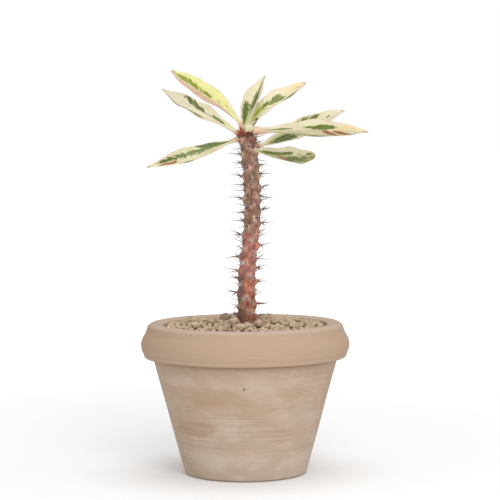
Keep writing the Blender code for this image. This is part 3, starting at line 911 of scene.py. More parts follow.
def faceted_stone(name, seed, cuts, subdivisions, depth=0.60):
    """A ball broken flat on several sides, as crushed stone is."""
    chance = random.Random(seed)
    stone = primitive(name, bpy.ops.mesh.primitive_ico_sphere_add, subdivisions=subdivisions, radius=1.0)
    bpy.ops.object.mode_set(mode="EDIT")
    for _ in range(cuts):
        side = Vector([chance.gauss(0, 1) for _ in range(3)]).normalized()
        bpy.ops.mesh.select_all(action="SELECT")
        bpy.ops.mesh.bisect(
            plane_co=side * chance.uniform(depth, depth + 0.22), plane_no=side,
            use_fill=True, clear_outer=True,
        )
    bpy.ops.mesh.select_all(action="SELECT")
    bpy.ops.mesh.dissolve_limited(angle_limit=math.radians(3))
    leave_edit()
    return stone


def weathered_stone(name, seed):
    """A broken stone with worn edges and a rough, pitted skin."""
    stone = faceted_stone(name, seed, 8, 2)
    bevel = stone.modifiers.new("wear", "BEVEL")
    bevel.width = 0.05
    bevel.segments = 2
    bevel.limit_method = "NONE"
    subdivision = stone.modifiers.new("rounding", "SUBSURF")
    subdivision.subdivision_type = "SIMPLE"
    subdivision.levels = 2
    subdivision.render_levels = 2
    apply_modifiers(stone)
    displace(stone, f"{name}_skin", 0.55, 0.26)
    displace(stone, f"{name}_pits", 0.20, 0.14)
    smooth(stone)
    return stone


def gravel_height(x, y):
    """Height of the gravel's surface, which sinks a little toward the wall."""
    share = math.hypot(x, y) / MOUTH_RADIUS
    return GRAVEL_MIDDLE - (GRAVEL_MIDDLE - GRAVEL_EDGE) * share ** 2.2


def fallen_grains(chance, tries, low, high, taken, crowding):
    """Places grains one by one where there is room, as (x, y, radius)."""
    placed = []
    reach = MOUTH_RADIUS - 0.4 * MM
    stem_x = stem_offset(STEM_FOOT)
    for _ in range(tries):
        radius = chance.uniform(low, high)
        distance = (reach - radius) * math.sqrt(chance.random())
        angle = chance.uniform(0, math.tau)
        x = distance * math.cos(angle)
        y = distance * math.sin(angle)
        if math.hypot(x - stem_x, y) < STEM_CORE + radius * 0.9:
            continue
        if all(math.hypot(x - a, y - b) > crowding * (radius + r) for a, b, r in taken + placed):
            placed.append((x, y, radius))
    return placed


def grain_matrix(chance, x, y, radius, sink):
    """A random turn and squash for a grain, and its place in the gravel."""
    turn = Euler([chance.uniform(-0.9, 0.9), chance.uniform(-0.9, 0.9), chance.uniform(0, math.tau)])
    size = radius * Vector([chance.uniform(0.95, 1.2), chance.uniform(0.8, 1.0), chance.uniform(0.75, 1.05)])
    height = gravel_height(x, y) - sink + chance.uniform(-0.5, 0.5) * MM
    return Matrix.LocRotScale(Vector((x, y, height)), turn, size)


class EUPHORBIA_OT_soil(Operator):
    """Give the buried soil its crumb"""

    bl_idname = "euphorbia.soil"
    bl_label = "Potting Soil"

    def execute(self, context):
        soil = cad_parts["soil"]
        soil.data.materials.clear()
        soil.data.materials.append(soil_material())
        return {"FINISHED"}


class EUPHORBIA_OT_gravel(Operator):
    """Scatter the loose grains of the top dressing over a bed of fines"""

    bl_idname = "euphorbia.gravel"
    bl_label = "Gravel"

    def execute(self, context):
        settings = context.scene.euphorbia_gravel
        chance = random.Random(settings.seed)
        grains = [faceted_stone(f"grain_{n}", n, 6, 1) for n in range(GRAIN_KINDS)]
        for grain in grains:
            smooth(grain, 42)
        taken = []
        for node in STONE_NODES:
            low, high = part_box(node)
            middle = (low + high) / 2
            taken.append((middle.x, middle.y, (high.x - low.x) / 2))
        laid = []
        # Tries, smallest and largest radius, how closely they crowd, and how deep they sink
        bands = (
            (60, 2.5 * MM, settings.largest, 0.84, 0.2 * MM),
            (3000, 1.8 * MM, 2.4 * MM, 0.86, 0.3 * MM),
            (2400, settings.smallest, 1.7 * MM, 0.78, 1.3 * MM),
        )
        for tries, low, high, crowding, sink in bands:
            for x, y, radius in fallen_grains(chance, tries, low, high, taken, crowding):
                taken.append((x, y, radius))
                laid.append(self.lay(chance, grains, x, y, radius, sink, GRAIN_TONE))
        for x, y, radius in fallen_grains(chance, 1800, 1.6 * MM, 2.4 * MM, [], 0.74):
            laid.append(self.lay(chance, grains, x, y, radius, DEEP_GRAIN_SINK, DEEP_GRAIN_TONE))
        gravel = join(laid, "loose_gravel")
        gravel.data.materials.append(stone_material("dry_grit", settings))
        finish_piece(gravel, "gravel_bed", "gravel_bed")
        finish_piece(self.fines(settings), "gravel_bed", "gravel_bed")
        remove(grains)
        return {"FINISHED"}

    def lay(self, chance, kinds, x, y, radius, sink, middle_tone):
        """One grain at its place, with a tone near the middle one."""
        tone = min(1.0, max(0.0, chance.gauss(middle_tone, 0.26)))
        return copy_of(chance.choice(kinds), grain_matrix(chance, x, y, radius, sink), tone)

    def fines(self, settings):
        """The lumpy bed of fines that shows between the grains, dark as painted shade in the gaps."""
        bed = primitive(
            "gravel_fines_and_shade", bpy.ops.mesh.primitive_cylinder_add,
            vertices=96, radius=MOUTH_RADIUS - 0.5 * MM, depth=7 * MM,
            location=(0, 0, GRAVEL_EDGE - 7.2 * MM),
        )
        apply_place(bed)
        edit_top(bed)
        for _ in range(7):
            bpy.ops.mesh.inset(thickness=6.0 * MM)
        leave_edit()
        chance = random.Random(5)
        for vertex in bed.data.vertices:
            if vertex.co.z > GRAVEL_EDGE - 5 * MM:
                lump = chance.uniform(-0.8, 0.8) * MM
                vertex.co.z = gravel_height(vertex.co.x, vertex.co.y) - FINES_DEPTH + lump
        smooth(bed)
        bed.data.materials.append(self.fines_and_shade_material(settings))
        return bed

    def fines_and_shade_material(self, settings):
        material, nodes, shader = new_material("gravel_fines_and_shade", 0.96, specular=0.1)
        place = nodes.place()
        crumbs = nodes.cells(place, 620.0)
        tone = nodes.mix(nodes.between(crumbs, 0.25, 0.75), settings.shade, FINES_CRUMB)
        set_finish(nodes, shader, tone, nodes.bump(crumbs, 0.9 * MM, strength=0.8))
        return material


class EUPHORBIA_OT_stones(Operator):
    """Set the larger weathered stones in the gravel"""

    bl_idname = "euphorbia.stones"
    bl_label = "Larger Stones"

    def execute(self, context):
        settings = context.scene.euphorbia_gravel
        material = stone_material("weathered_stone", settings)
        chance = random.Random(3)
        for number, node in enumerate(STONE_NODES):
            low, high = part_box(node)
            stone = weathered_stone(f"large_{node}", 70 + number)
            size = (high - low) / 2 * 1.02
            place = Matrix.Translation((low + high) / 2) @ Matrix.Diagonal((*size, 1.0))
            stone.data.transform(place @ Matrix.Rotation(chance.uniform(0, math.tau), 4, "Z"))
            tone = 0.05 if node == DARK_STONE else chance.uniform(0.5, 1.0)
            point_values(stone, "tone", [tone] * len(stone.data.vertices))
            stone.data.materials.append(material)
            finish_piece(stone, node, node)
        return {"FINISHED"}


# --- Stem -----------------------------------------------------------------------------------------


def stem_offset(height):
    """How far the stem's middle stands sideways at a height."""
    level = height / MM
    for (low, start), (high, end) in zip(STEM_LINE, STEM_LINE[1:]):
        if level <= high:
            share = max(0.0, (level - low) / (high - low))
            share = share * share * (3.0 - 2.0 * share)
            return (start + (end - start) * share) * MM
    return STEM_LINE[-1][1] * MM


def cushions():
    """(height, angle) of each spine cushion, in the spiral order in which they grew."""
    places = []
    height = STEM_BARE_TOP + 1.0 * MM
    angle = 0.4
    while height < STEM_TOP - 1.5 * MM:
        reach = STEM_CORE + 1.4 * MM
        spot = Vector((stem_offset(height) + reach * math.cos(angle), reach * math.sin(angle), height))
        if all((spot - Vector(leaf.foot) * MM).length > LEAF_CLEARANCE for leaf in LEAVES.values()):
            places.append((height, angle % math.tau))
        height += CUSHION_STEP
        angle += GOLDEN_ANGLE
    return places


def leaf_bases():
    """(height, angle) of the swollen base under each leaf."""
    bases = []
    for leaf in LEAVES.values():
        foot = Vector(leaf.foot) * MM
        angle = math.atan2(foot.y, foot.x - stem_offset(foot.z)) % math.tau
        bases.append((min(foot.z - 1.6 * MM, STEM_SHOULDER), angle))
    return bases


def stem_core(height):
    """Radius of the bark between the cushions, thicker toward the foot."""
    swell = STEM_SWELL * max(0.0, 1.0 - (height - STEM_BARE_TOP) / STEM_SWELL_HEIGHT)
    return STEM_CORE + min(swell, STEM_SWELL)


def cushion_rise(height, angle, near):
    """How strongly the nearest spine cushion lifts the bark at a spot, from 0 to 1."""
    most = 0.0
    for level, around in near:
        rise = (height - level) / CUSHION_HEIGHT
        if rise > 0:
            rise *= 1.6
        turn = (angle - around + math.pi) % math.tau - math.pi
        most = max(most, math.exp(-rise * rise - (turn / CUSHION_TURN) ** 2))
    return most


def bark_material(settings):
    """Red-brown bark, streaked along the stem, with painted shade on its left and in the grooves between the
    cushions, and paler on the cushions.
    """
    material, nodes, shader = new_material("stem_bark", 0.55, specular=0.4, subsurface=0.08, depth=1.0 * MM)
    place = nodes.place()
    axes = nodes.axes(place)
    cushion = nodes.attribute("cushion")
    drift = nodes.times(nodes.minus(nodes.noise(place, 90.0), 0.5), 0.06)
    level = nodes.plus(axes["Z"], drift)
    tone = nodes.mix(nodes.between(level, 172 * MM, 138 * MM), settings.young_bark, settings.old_bark)
    for number, (mark, size, stretch, start, full, old, young) in enumerate(BARK_MARKS):
        shifted = nodes.scaled(place, (1.0, 1.0, stretch), (0.13 * number, 0.07 * number, 0.0))
        streak = nodes.noise(shifted, size, detail=3.0, roughness=0.6, distortion=0.7)
        amount = nodes.between(level, 145 * MM, 185 * MM, old, young)
        tone = nodes.tint(tone, mark, nodes.between(streak, start, full), amount)
    purple = nodes.times(
        nodes.between(level, 126 * MM, 138 * MM), nodes.between(level, 166 * MM, 152 * MM)
    )
    tone = nodes.tint(tone, PURPLE_BARK, purple, 0.40)
    # Painted shade: the left side of the lower stem, away from the light, is greyed and darkened.
    weathered = nodes.between(axes["X"], 1.5 * MM, -4.0 * MM)
    tone = nodes.tint(tone, settings.grey, weathered, nodes.between(level, 150 * MM, 120 * MM, 0.2, 0.7))
    # Painted shade: the bark darkens in the grooves between the cushions.
    tone = nodes.mix(nodes.between(cushion, 0.30, 0.0, 0.0, 0.55), tone, PAINTED_GROOVE_SHADE)
    pale = nodes.between(level, 150 * MM, 180 * MM, 0.30, 0.50)
    tone = nodes.tint(tone, CUSHION_SKIN, nodes.between(cushion, 0.45, 0.85), pale)
    tone = nodes.tint(tone, CUSHION_TIP, nodes.between(cushion, 0.90, 0.98), 0.6)
    swollen = nodes.between(nodes.attribute("leaf_base"), 0.35, 0.9, 0.0, 0.7)
    tone = nodes.mix(swollen, tone, LEAF_BASE)
    tone = nodes.mix(nodes.between(level, 222.5 * MM, 226.5 * MM, 0.0, 0.85), tone, DARK_COLLAR)
    folds = nodes.noise(nodes.scaled(place, (1, 1, 0.3)), 900.0, detail=3.0)
    relief = nodes.bump(folds, 0.6 * MM, strength=0.8)
    relief = nodes.bump(nodes.noise(place, 1600.0, detail=2.0), 0.16 * MM, strength=0.6, normal=relief)
    set_finish(nodes, shader, tone, relief, nodes.between(folds, 0.3, 0.7, 0.45, 0.75))
    return material


def spine_material(settings):
    """Brown spines, some weathered to pale grey, with a dark root and a pale point."""
    material, nodes, shader = new_material("spine", 0.5, specular=0.35)
    along = nodes.attribute("along")
    shaft = nodes.mix(nodes.between(nodes.attribute("tone"), 0.35, 1.0), settings.spine, WORN_SPINE)
    tone = nodes.mix(nodes.between(along, 0.0, 0.28), SPINE_ROOT, shaft)
    tone = nodes.mix(nodes.between(along, 0.70, 1.0, 0.0, 0.8), tone, SPINE_POINT)
    scuffs = nodes.noise(nodes.place(), 900.0, detail=2.0)
    tone = nodes.mix(nodes.between(scuffs, 0.5, 0.7, 0.0, 0.4), tone, SPINE_SCUFF)
    set_finish(nodes, shader, tone, nodes.bump(scuffs, 0.05 * MM, strength=0.5))
    return material


def spine_prototype(name, bend):
    """A thin tapering needle, one unit long, with a slight bend."""
    spine = primitive(
        name, bpy.ops.mesh.primitive_cone_add,
        vertices=6, radius1=0.055, radius2=0.004, depth=1.0, location=(0, 0, 0.5),
    )
    apply_place(spine)
    edit_all()
    for level in (0.12, 0.35, 0.68):
        bpy.ops.mesh.bisect(plane_co=(0, 0, level), plane_no=(0, 0, 1))
        bpy.ops.mesh.select_all(action="SELECT")
    leave_edit()
    point_values(spine, "along", [vertex.co.z for vertex in spine.data.vertices])
    for vertex in spine.data.vertices:
        swell = 1.35 if vertex.co.z < 0.01 else 1.0
        vertex.co.x = vertex.co.x * swell + bend * vertex.co.z ** 2
        vertex.co.y *= swell
    smooth(spine)
    return spine


class EUPHORBIA_OT_stem(Operator):
    """Grow the stem with its spine cushions and spines"""

    bl_idname = "euphorbia.stem"
    bl_label = "Spiny Stem"

    def execute(self, context):
        settings = context.scene.euphorbia_stem
        places = cushions()
        stem = self.trunk(places, settings)
        spines = self.spines(places, settings)
        stem.data.materials.append(bark_material(settings))
        spines.data.materials.append(spine_material(settings))
        finish_piece(stem, "stem", "stem")
        finish_piece(spines, "stem", "stem")
        return {"FINISHED"}

    def trunk(self, places, settings):
        stem = primitive(
            "stem_bark", bpy.ops.mesh.primitive_grid_add,
            x_subdivisions=STEM_SIDES, y_subdivisions=STEM_ROWS, size=2.0,
        )
        self.shape_bark(stem, places, settings.cushion)
        edit_all()
        bpy.ops.mesh.remove_doubles(threshold=0.01 * MM)
        bpy.ops.mesh.fill_holes(sides=0)
        recalculate_normals()
        leave_edit()
        smooth(stem)
        return stem

    def shape_bark(self, stem, places, stand_out):
        """Roll a flat grid into the stem, and lift its bark at the spine cushions."""
        rises = []
        swells = []
        bases = leaf_bases()
        near_row = {}
        for vertex in stem.data.vertices:
            height = STEM_FOOT + (STEM_TOP - STEM_FOOT) * (vertex.co.y + 1.0) / 2
            row = round(height / MM * 10)
            if row not in near_row:
                near_row[row] = [place for place in places if abs(place[0] - height) < 8 * MM]
            angle = math.pi * (vertex.co.x + 1.0) % math.tau
            rise = cushion_rise(height, angle, near_row[row])
            rises.append(rise)
            swell = cushion_rise(height, angle, bases)
            swells.append(swell)
            share = max(0.0, (height - STEM_SHOULDER) / (STEM_TOP - STEM_SHOULDER))
            dome = math.sqrt(max(0.0, 1.0 - 0.42 * share ** 2.5))
            spot = Vector((math.cos(angle) * 2.4, math.sin(angle) * 2.4, height / MM * 0.28))
            rough = noise.noise(spot) * 0.75 + noise.noise(spot * 2.9) * 0.35
            radius = (stem_core(height) + rough * MM) * dome
            radius += max(stand_out * rise, LEAF_BASE_SWELL * swell)
            vertex.co = (stem_offset(height) + radius * math.cos(angle), radius * math.sin(angle), height)
        point_values(stem, "cushion", rises)
        point_values(stem, "leaf_base", swells)

    def spines(self, places, settings):
        """Two long spines and four short ones on every cushion."""
        chance = random.Random(21)
        needles = [spine_prototype(f"needle_{n}", bend) for n, bend in enumerate((0.0, 0.06, -0.06))]
        spines = []
        for height, angle in places:
            out = Vector((math.cos(angle), math.sin(angle), 0.0))
            across = Vector((-math.sin(angle), math.cos(angle), 0.0))
            reach = stem_core(height) + settings.cushion * 0.85
            foot = Vector((stem_offset(height), 0.0, height)) + out * reach
            young = height > YOUNG_SPINES
            weathered = 0.7 if height < WEATHERED_BELOW and math.sin(angle) < -0.4 else 0.0
            for side in (-1, 1):
                aim = out + across * side * chance.uniform(0.2, 0.6)
                aim += Vector((0, 0, chance.uniform(-0.15, 0.45)))
                size = settings.spine_length * chance.uniform(0.68, 1.2) * (0.85 if young else 1.0)
                start = foot + across * side * 0.6 * MM
                spines.append(self.plant(chance, needles, start, aim, size, 1.0, weathered))
            for slope in (-0.75, -0.35, 0.4, 0.8):
                lift = slope + chance.uniform(-0.2, 0.2)
                aim = out + across * chance.uniform(-0.9, 0.9) + Vector((0, 0, lift))
                size = settings.spine_length * chance.uniform(0.3, 0.72)
                spines.append(self.plant(chance, needles, foot, aim, size, 0.9, weathered))
        spines = join(spines, "spines")
        remove(needles)
        return spines

    def plant(self, chance, needles, foot, aim, size, girth, weathered):
        """One spine rooted in its cushion, spun and toned at random."""
        aim = aim.normalized()
        place = Matrix.Translation(foot - aim * 0.5 * MM) @ turned_to(aim, chance.uniform(0, math.tau))
        thick = girth * NEEDLE_GIRTH
        tone = chance.uniform(weathered, min(1.0, weathered + 0.6))
        return copy_of(chance.choice(needles), place @ Matrix.Diagonal((thick, thick, size, 1.0)), tone)


# --- Crown ----------------------------------------------------------------------------------------


def tip_material():
    """Pale green flesh clouded with cream, peach lower down and brown at its seat."""
    material, nodes, shader = new_material(
        "growing_tip", 0.45, specular=0.4, subsurface=0.2, depth=1.5 * MM
    )
    place = nodes.place()
    low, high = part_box("growing_tip")
    axes = nodes.axes(place)
    sides = nodes.between(axes["Z"], high.z + 1.0 * MM, low.z, 0.0, 0.8)
    cloudy = nodes.noise(place, 420.0, detail=3.0)
    tone = nodes.mix(nodes.between(cloudy, 0.35, 0.65), TIP_GREEN, TIP_CREAM)
    tone = nodes.tint(tone, TIP_PEACH, sides, nodes.between(cloudy, 0.4, 0.6))
    level = nodes.plus(axes["Z"], nodes.times(cloudy, 2.4 * MM))
    below = nodes.between(level, low.z + 3.0 * MM, low.z + 1.4 * MM, 0.0, 0.9)
    tone = nodes.mix(below, tone, TIP_SHADE)
    set_finish(nodes, shader, tone, nodes.bump(cloudy, 0.3 * MM, strength=0.6))
    return material


def foot_material():
    """Peach-coloured flesh, flushed red along its top and brown where it meets the stem."""
    material, nodes, shader = new_material("leaf_foot", 0.45, specular=0.3, subsurface=0.2, depth=1.5 * MM)
    place = nodes.place()
    cloudy = nodes.noise(place, 380.0, detail=3.0)
    tone = nodes.mix(nodes.between(cloudy, 0.35, 0.65), FOOT_ROSE, FOOT_PEACH)
    height = nodes.plus(nodes.axes(place)["Z"], nodes.times(cloudy, 1.6 * MM))
    tone = nodes.mix(nodes.between(height, 232.2 * MM, 234.0 * MM, 0.0, 0.65), tone, FOOT_FLUSH)
    tone = nodes.mix(nodes.between(height, 228.6 * MM, 227.4 * MM, 0.0, 0.7), tone, FOOT_SHADE)
    set_finish(nodes, shader, tone, nodes.bump(cloudy, 0.4 * MM, strength=0.6))
    return material


def scale_material():
    """Red and brown stipules, dark at their roots."""
    material, nodes, shader = new_material("red_stipule", 0.5, specular=0.35, subsurface=0.1)
    red = nodes.mix(nodes.attribute("tone"), STIPULE_DARK, STIPULE_RED)
    tone = nodes.mix(nodes.between(nodes.attribute("along"), 0.0, 0.5), STIPULE_ROOT, red)
    veins = nodes.noise(nodes.place(), 1200.0, detail=2.0)
    tone = nodes.mix(nodes.between(veins, 0.55, 0.7, 0.0, 0.5), tone, STIPULE_VEIN)
    set_finish(nodes, shader, tone, nodes.bump(veins, 0.1 * MM, strength=0.5))
    return material


def stub_material():
    """Dark, papery skin with folds along the stalk."""
    material, nodes, shader = new_material("withered_stalk", 0.85, specular=0.15)
    folds = nodes.noise(nodes.scaled(nodes.place(), (1, 1, 0.3)), 900.0, detail=3.0)
    tone = nodes.mix(nodes.between(folds, 0.35, 0.65), STUB_DARK, STUB_BROWN)
    set_finish(nodes, shader, tone, nodes.bump(folds, 0.4 * MM))
    return material


class EUPHORBIA_OT_crown(Operator):
    """Shape the growing tip, the swollen leaf foot, the stipules round them and the dry stub behind"""

    bl_idname = "euphorbia.crown"
    bl_label = "Crown"

    def execute(self, context):
        self.growing_tip()
        self.swollen_foot()
        self.stipules()
        self.dry_stub()
        return {"FINISHED"}

    def growing_tip(self):
        low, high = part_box("growing_tip")
        middle = (low + high) / 2
        tip = primitive(
            "tip_bud", bpy.ops.mesh.primitive_uv_sphere_add, segments=48, ring_count=32, radius=1.0
        )
        for vertex in tip.data.vertices:
            angle = math.atan2(vertex.co.y, vertex.co.x)
            furrow = 1.0 - 0.06 * max(0.0, math.cos(2.5 * angle)) ** 6
            lump = 1.0 + 0.05 * noise.noise(vertex.co * 2.2)
            vertex.co.x *= furrow * lump
            vertex.co.y *= furrow * lump
            vertex.co.z = max(vertex.co.z, -0.98) * lump
        tip.data.transform(
            Matrix.Translation((middle.x, middle.y - 0.6 * MM, low.z + 2.9 * MM))
            @ Matrix.Diagonal((4.1 * MM, 3.3 * MM, 3.6 * MM, 1.0))
        )
        smooth(tip)
        tip.data.materials.append(tip_material())
        finish_piece(tip, "growing_tip", "growing_tip")

    def swollen_foot(self):
        """The thick foot by which the long front leaf sits beside the growing tip."""
        foot = primitive(
            "leaf_7_foot", bpy.ops.mesh.primitive_uv_sphere_add, segments=40, ring_count=28, radius=1.0
        )
        foot.data.transform(Matrix.Rotation(math.pi / 2, 4, "Y"))
        for vertex in foot.data.vertices:
            taper = 1.0 - 0.28 * (vertex.co.x + 1.0)
            lump = 1.0 + 0.10 * noise.noise(vertex.co * 1.8)
            vertex.co.y *= taper * lump
            vertex.co.z = vertex.co.z * taper * lump - 0.10 * (vertex.co.x + 1.0)
        leaf = LEAVES["leaf_7"]
        centre = Vector(leaf.foot) * MM + Vector((3.4, -1.2, 1.6)) * MM
        turn = Matrix.Rotation(math.radians(leaf.heading), 4, "Z")
        size = Matrix.Diagonal((6.4 * MM, 3.0 * MM, 3.6 * MM, 1.0))
        foot.data.transform(Matrix.Translation(centre) @ turn @ size)
        smooth(foot)
        foot.data.materials.append(foot_material())
        finish_piece(foot, "leaf_7", "leaf_7")

    def stipules(self):
        """Small scales: red ones round each leaf's foot, a red tuft, and a dark ring under the tip."""
        chance = random.Random(9)
        needle = spine_prototype("stipule_needle", 0.12)
        scales = []
        for leaf in LEAVES.values():
            foot = Vector(leaf.foot) * MM
            out = (foot - Vector((stem_offset(foot.z), 0.0, foot.z))).normalized()
            left = foot.x < 0
            for _ in range(5 if left else 3):
                around = Vector([chance.gauss(0, 1) for _ in range(3)]).normalized()
                aim = out * 0.8 + around * 0.7 + Vector((0, 0, 0.35))
                start = foot - out * 1.3 * MM + around * 1.4 * MM
                thick = chance.uniform(13.0, 20.0)
                tall = chance.uniform(2.2, 4.0) * (1.0 if left else 0.7)
                scales.append(self.sprout(chance, needle, start, aim, (thick, thick * 0.5, tall), 0.0, 1.0))
        for _ in range(38):
            start = Vector([chance.gauss(middle, spread) for middle, spread in STIPULE_TUFT]) * MM
            aim = Vector((chance.uniform(-1.0, 0.5), chance.uniform(-1.0, 0.1), chance.uniform(-0.3, 1.0)))
            size = (9.0, 6.0, chance.uniform(1.8, 3.6))
            scales.append(self.sprout(chance, needle, start, aim, size, 0.4, 1.0))
        low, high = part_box("growing_tip")
        centre = Vector(((low.x + high.x) / 2, (low.y + high.y) / 2, low.z))
        ring = 40
        for step in range(ring):
            around = math.tau * step / ring
            out = Vector((math.cos(around), math.sin(around), 0.0))
            start = centre + out * 3.6 * MM + Vector((0, 0, chance.uniform(-0.8, 0.6))) * MM
            aim = out * 0.5 + Vector((0, 0, chance.uniform(0.2, 0.9)))
            size = (14.0, 9.0, chance.uniform(1.2, 2.2))
            scales.append(self.sprout(chance, needle, start, aim, size, 0.0, 0.3))
        scales = join(scales, "stipules")
        scales.data.materials.append(scale_material())
        finish_piece(scales, "stem")
        remove([needle])

    def sprout(self, chance, needle, start, aim, size, darkest, brightest):
        """One scale of a size in millimetres, spun at random, with a tone between two."""
        place = Matrix.Translation(start) @ turned_to(aim.normalized(), chance.uniform(0, math.tau))
        shape = Matrix.Diagonal((*(Vector(size) * MM), 1.0))
        return copy_of(needle, place @ shape, chance.uniform(darkest, brightest))

    def dry_stub(self):
        """The withered stalk that stands behind the crown."""
        stub = primitive(
            "dry_stub", bpy.ops.mesh.primitive_cylinder_add,
            vertices=16, radius=1.1 * MM, depth=1.0 * MM, location=(0, 0, 0),
        )
        edit_top(stub)
        for step in range(7):
            bpy.ops.mesh.extrude_region_move(TRANSFORM_OT_translate={"value": (0.42 * MM, 0, 1.10 * MM)})
            width = 1.16 if step in (2, 6) else 0.93
            bpy.ops.transform.resize(value=(width, width * 0.96, 1.0))
        leave_edit()
        displace(stub, "withered", 1.2 * MM, 0.7 * MM)
        behind = Matrix.Translation((4.2 * MM, 3.4 * MM, 230.8 * MM))
        stub.data.transform(behind @ Matrix.Rotation(0.25, 4, "Y"))
        smooth(stub)
        stub.data.materials.append(stub_material())
        finish_piece(stub, "stem")


# --- Leaves ---------------------------------------------------------------------------------------


def leaf_frame(shape, share):
    """Directions ahead, across and up out of the blade at a share of its length."""
    azimuth = math.radians(shape.heading + shape.swing * share)
    rise = math.radians(shape.tip_rise + (shape.foot_rise - shape.tip_rise) * (1.0 - share) ** 3)
    ahead = Vector(
        (math.cos(rise) * math.cos(azimuth), math.cos(rise) * math.sin(azimuth), math.sin(rise))
    )
    level = Vector((-math.sin(azimuth), math.cos(azimuth), 0.0))
    upright = ahead.cross(level)
    turn = math.radians(shape.roll)
    across = level * math.cos(turn) + upright * math.sin(turn)
    return ahead, across, upright * math.cos(turn) - level * math.sin(turn)


def leaf_midrib(shape, rows):
    """Points along the midrib, with the directions across and up at each."""
    point = Vector(shape.foot) * MM
    line = []
    for row in range(rows + 1):
        share = row / rows
        ahead, across, up = leaf_frame(shape, share)
        line.append((point.copy(), across, up))
        point += ahead * shape.length * MM / rows
    return line


def leaf_half_width(share, shape, form):
    """Half the blade's width at a share of its length, or that of the stalk where it is wider."""
    swelling = max(0.0, math.sin(math.pi * share ** (math.log(0.5) / math.log(shape.widest))))
    sharpness = 1.15 if share < shape.widest else form.blunt
    blade = shape.width * form.width * MM / 2 * swelling ** sharpness
    return max(blade, form.stalk * MM * math.sqrt(1.0 - share) + 0.12 * MM)


def leaf_thickness(share, side, thickness):
    """Thin at the edges, thicker at the midrib, and thickest in the stalk."""
    blade = thickness * (0.45 + 0.55 * (1.0 - abs(side) ** 3))
    keel = 0.8 * thickness * math.exp(-(side / 0.14) ** 2) * (1.0 - 0.6 * share)
    stalk = 1.3 * thickness * max(0.0, 1.0 - share / 0.14)
    return blade + keel + stalk


def leaf_material(name, face, settings):
    """Cream blade with green and rust patches; face is 0 for its upper side and 1 for its under side."""
    material, nodes, shader = new_material(
        f"{name}_{('upper', 'under')[face]}", 0.50 + 0.10 * face,
        specular=0.20, subsurface=0.10, depth=0.8 * MM,
    )
    uv = nodes.axes(nodes.add("ShaderNodeUVMap", uv_map="UVMap").outputs["UV"])
    along = uv["Y"]
    across = nodes.minus(1.0, nodes.times(uv["X"], 2.0))
    side = nodes.math("ABSOLUTE", across)
    veinwise = nodes.minus(along, nodes.times(side, RIB_SLANT))
    offset = 3.7 * list(LEAVES).index(name)
    teeth = nodes.joined(nodes.times(veinwise, 15.0), nodes.times(across, 0.9), offset)
    streaks = nodes.noise(teeth, 2.0, detail=4.0, roughness=0.62)
    blotches = nodes.joined(nodes.times(along, 6.0), across, offset + 1.3)
    cloudy = nodes.noise(blotches, 1.3, detail=3.0)
    tone = nodes.mix(nodes.between(cloudy, 0.35, 0.65), CREAM, WARM_CREAM)
    fresh = nodes.noise(nodes.joined(nodes.times(veinwise, 16.0), across, offset + 5.0), 1.6, detail=3.0)
    tone = nodes.mix(nodes.between(fresh, 0.52, 0.72, 0.0, 0.35), tone, FRESH_GREEN)
    patch = shared_group("ragged_patch", build_ragged_patch)
    for key, centre, middle, half_length, half_width, ragged in LEAF_PATCHES[name]:
        masks = nodes.shared(
            patch, along=veinwise, across=across, streaks=streaks,
            centre=(centre - RIB_SLANT * abs(middle), middle, 0.0),
            half_size=(half_length, half_width, 1.0), ragged=ragged,
        )
        core, halo = LEAF_COLOURS[key]
        tone = nodes.tint(tone, halo, masks["Halo"], 0.62)
        tone = nodes.tint(tone, core, masks["Core"], 0.92)
    midrib = nodes.between(side, 0.075, 0.03)
    tone = nodes.tint(tone, MIDRIB_GREEN, midrib, 0.35)
    # Painted shade: a thin dark line in the crease along the midrib.
    tone = nodes.mix(nodes.between(side, 0.03, 0.01, 0.0, 0.30), tone, MIDRIB_CREASE_SHADE)
    flecks = nodes.noise(nodes.joined(nodes.times(veinwise, 60.0), nodes.times(across, 5.0), offset), 2.0)
    tone = nodes.mix(nodes.between(flecks, 0.58, 0.72, 0.0, 0.18), tone, LEAF_FLECK)
    edge = nodes.between(nodes.plus(side, nodes.times(streaks, 0.08)), 0.93, 1.03)
    tone = nodes.tint(tone, settings.margin, edge, 0.36)
    tone = nodes.tint(tone, settings.margin, nodes.between(along, 0.94, 0.99), 0.75)
    reach, full = (0.16, 0.03) if name in PINK_STALKS else (0.08, 0.0)
    tone = nodes.tint(tone, settings.stalk, nodes.between(along, reach, full), 0.85)
    # The under side is paler: partly its own muted colour, partly painted light that makes up for the
    # smaller share of light it gets.
    if face:
        tone = nodes.mix(nodes.between(cloudy, 0.2, 0.8, 0.10, 0.30), tone, UNDERSIDE_PALE_AND_LIGHT)
    ribs = nodes.noise(nodes.joined(nodes.times(veinwise, 90.0), across, offset), 1.4, detail=1.0)
    tone = nodes.mix(nodes.between(ribs, 0.52, 0.66, 0.0, 0.10), tone, RIB_GREEN)
    relief = nodes.bump(ribs, 0.25 * MM, strength=0.4)
    relief = nodes.bump(midrib, 0.5 * MM, strength=0.5 if face else -0.5, normal=relief)
    set_finish(nodes, shader, tone, relief)
    return material


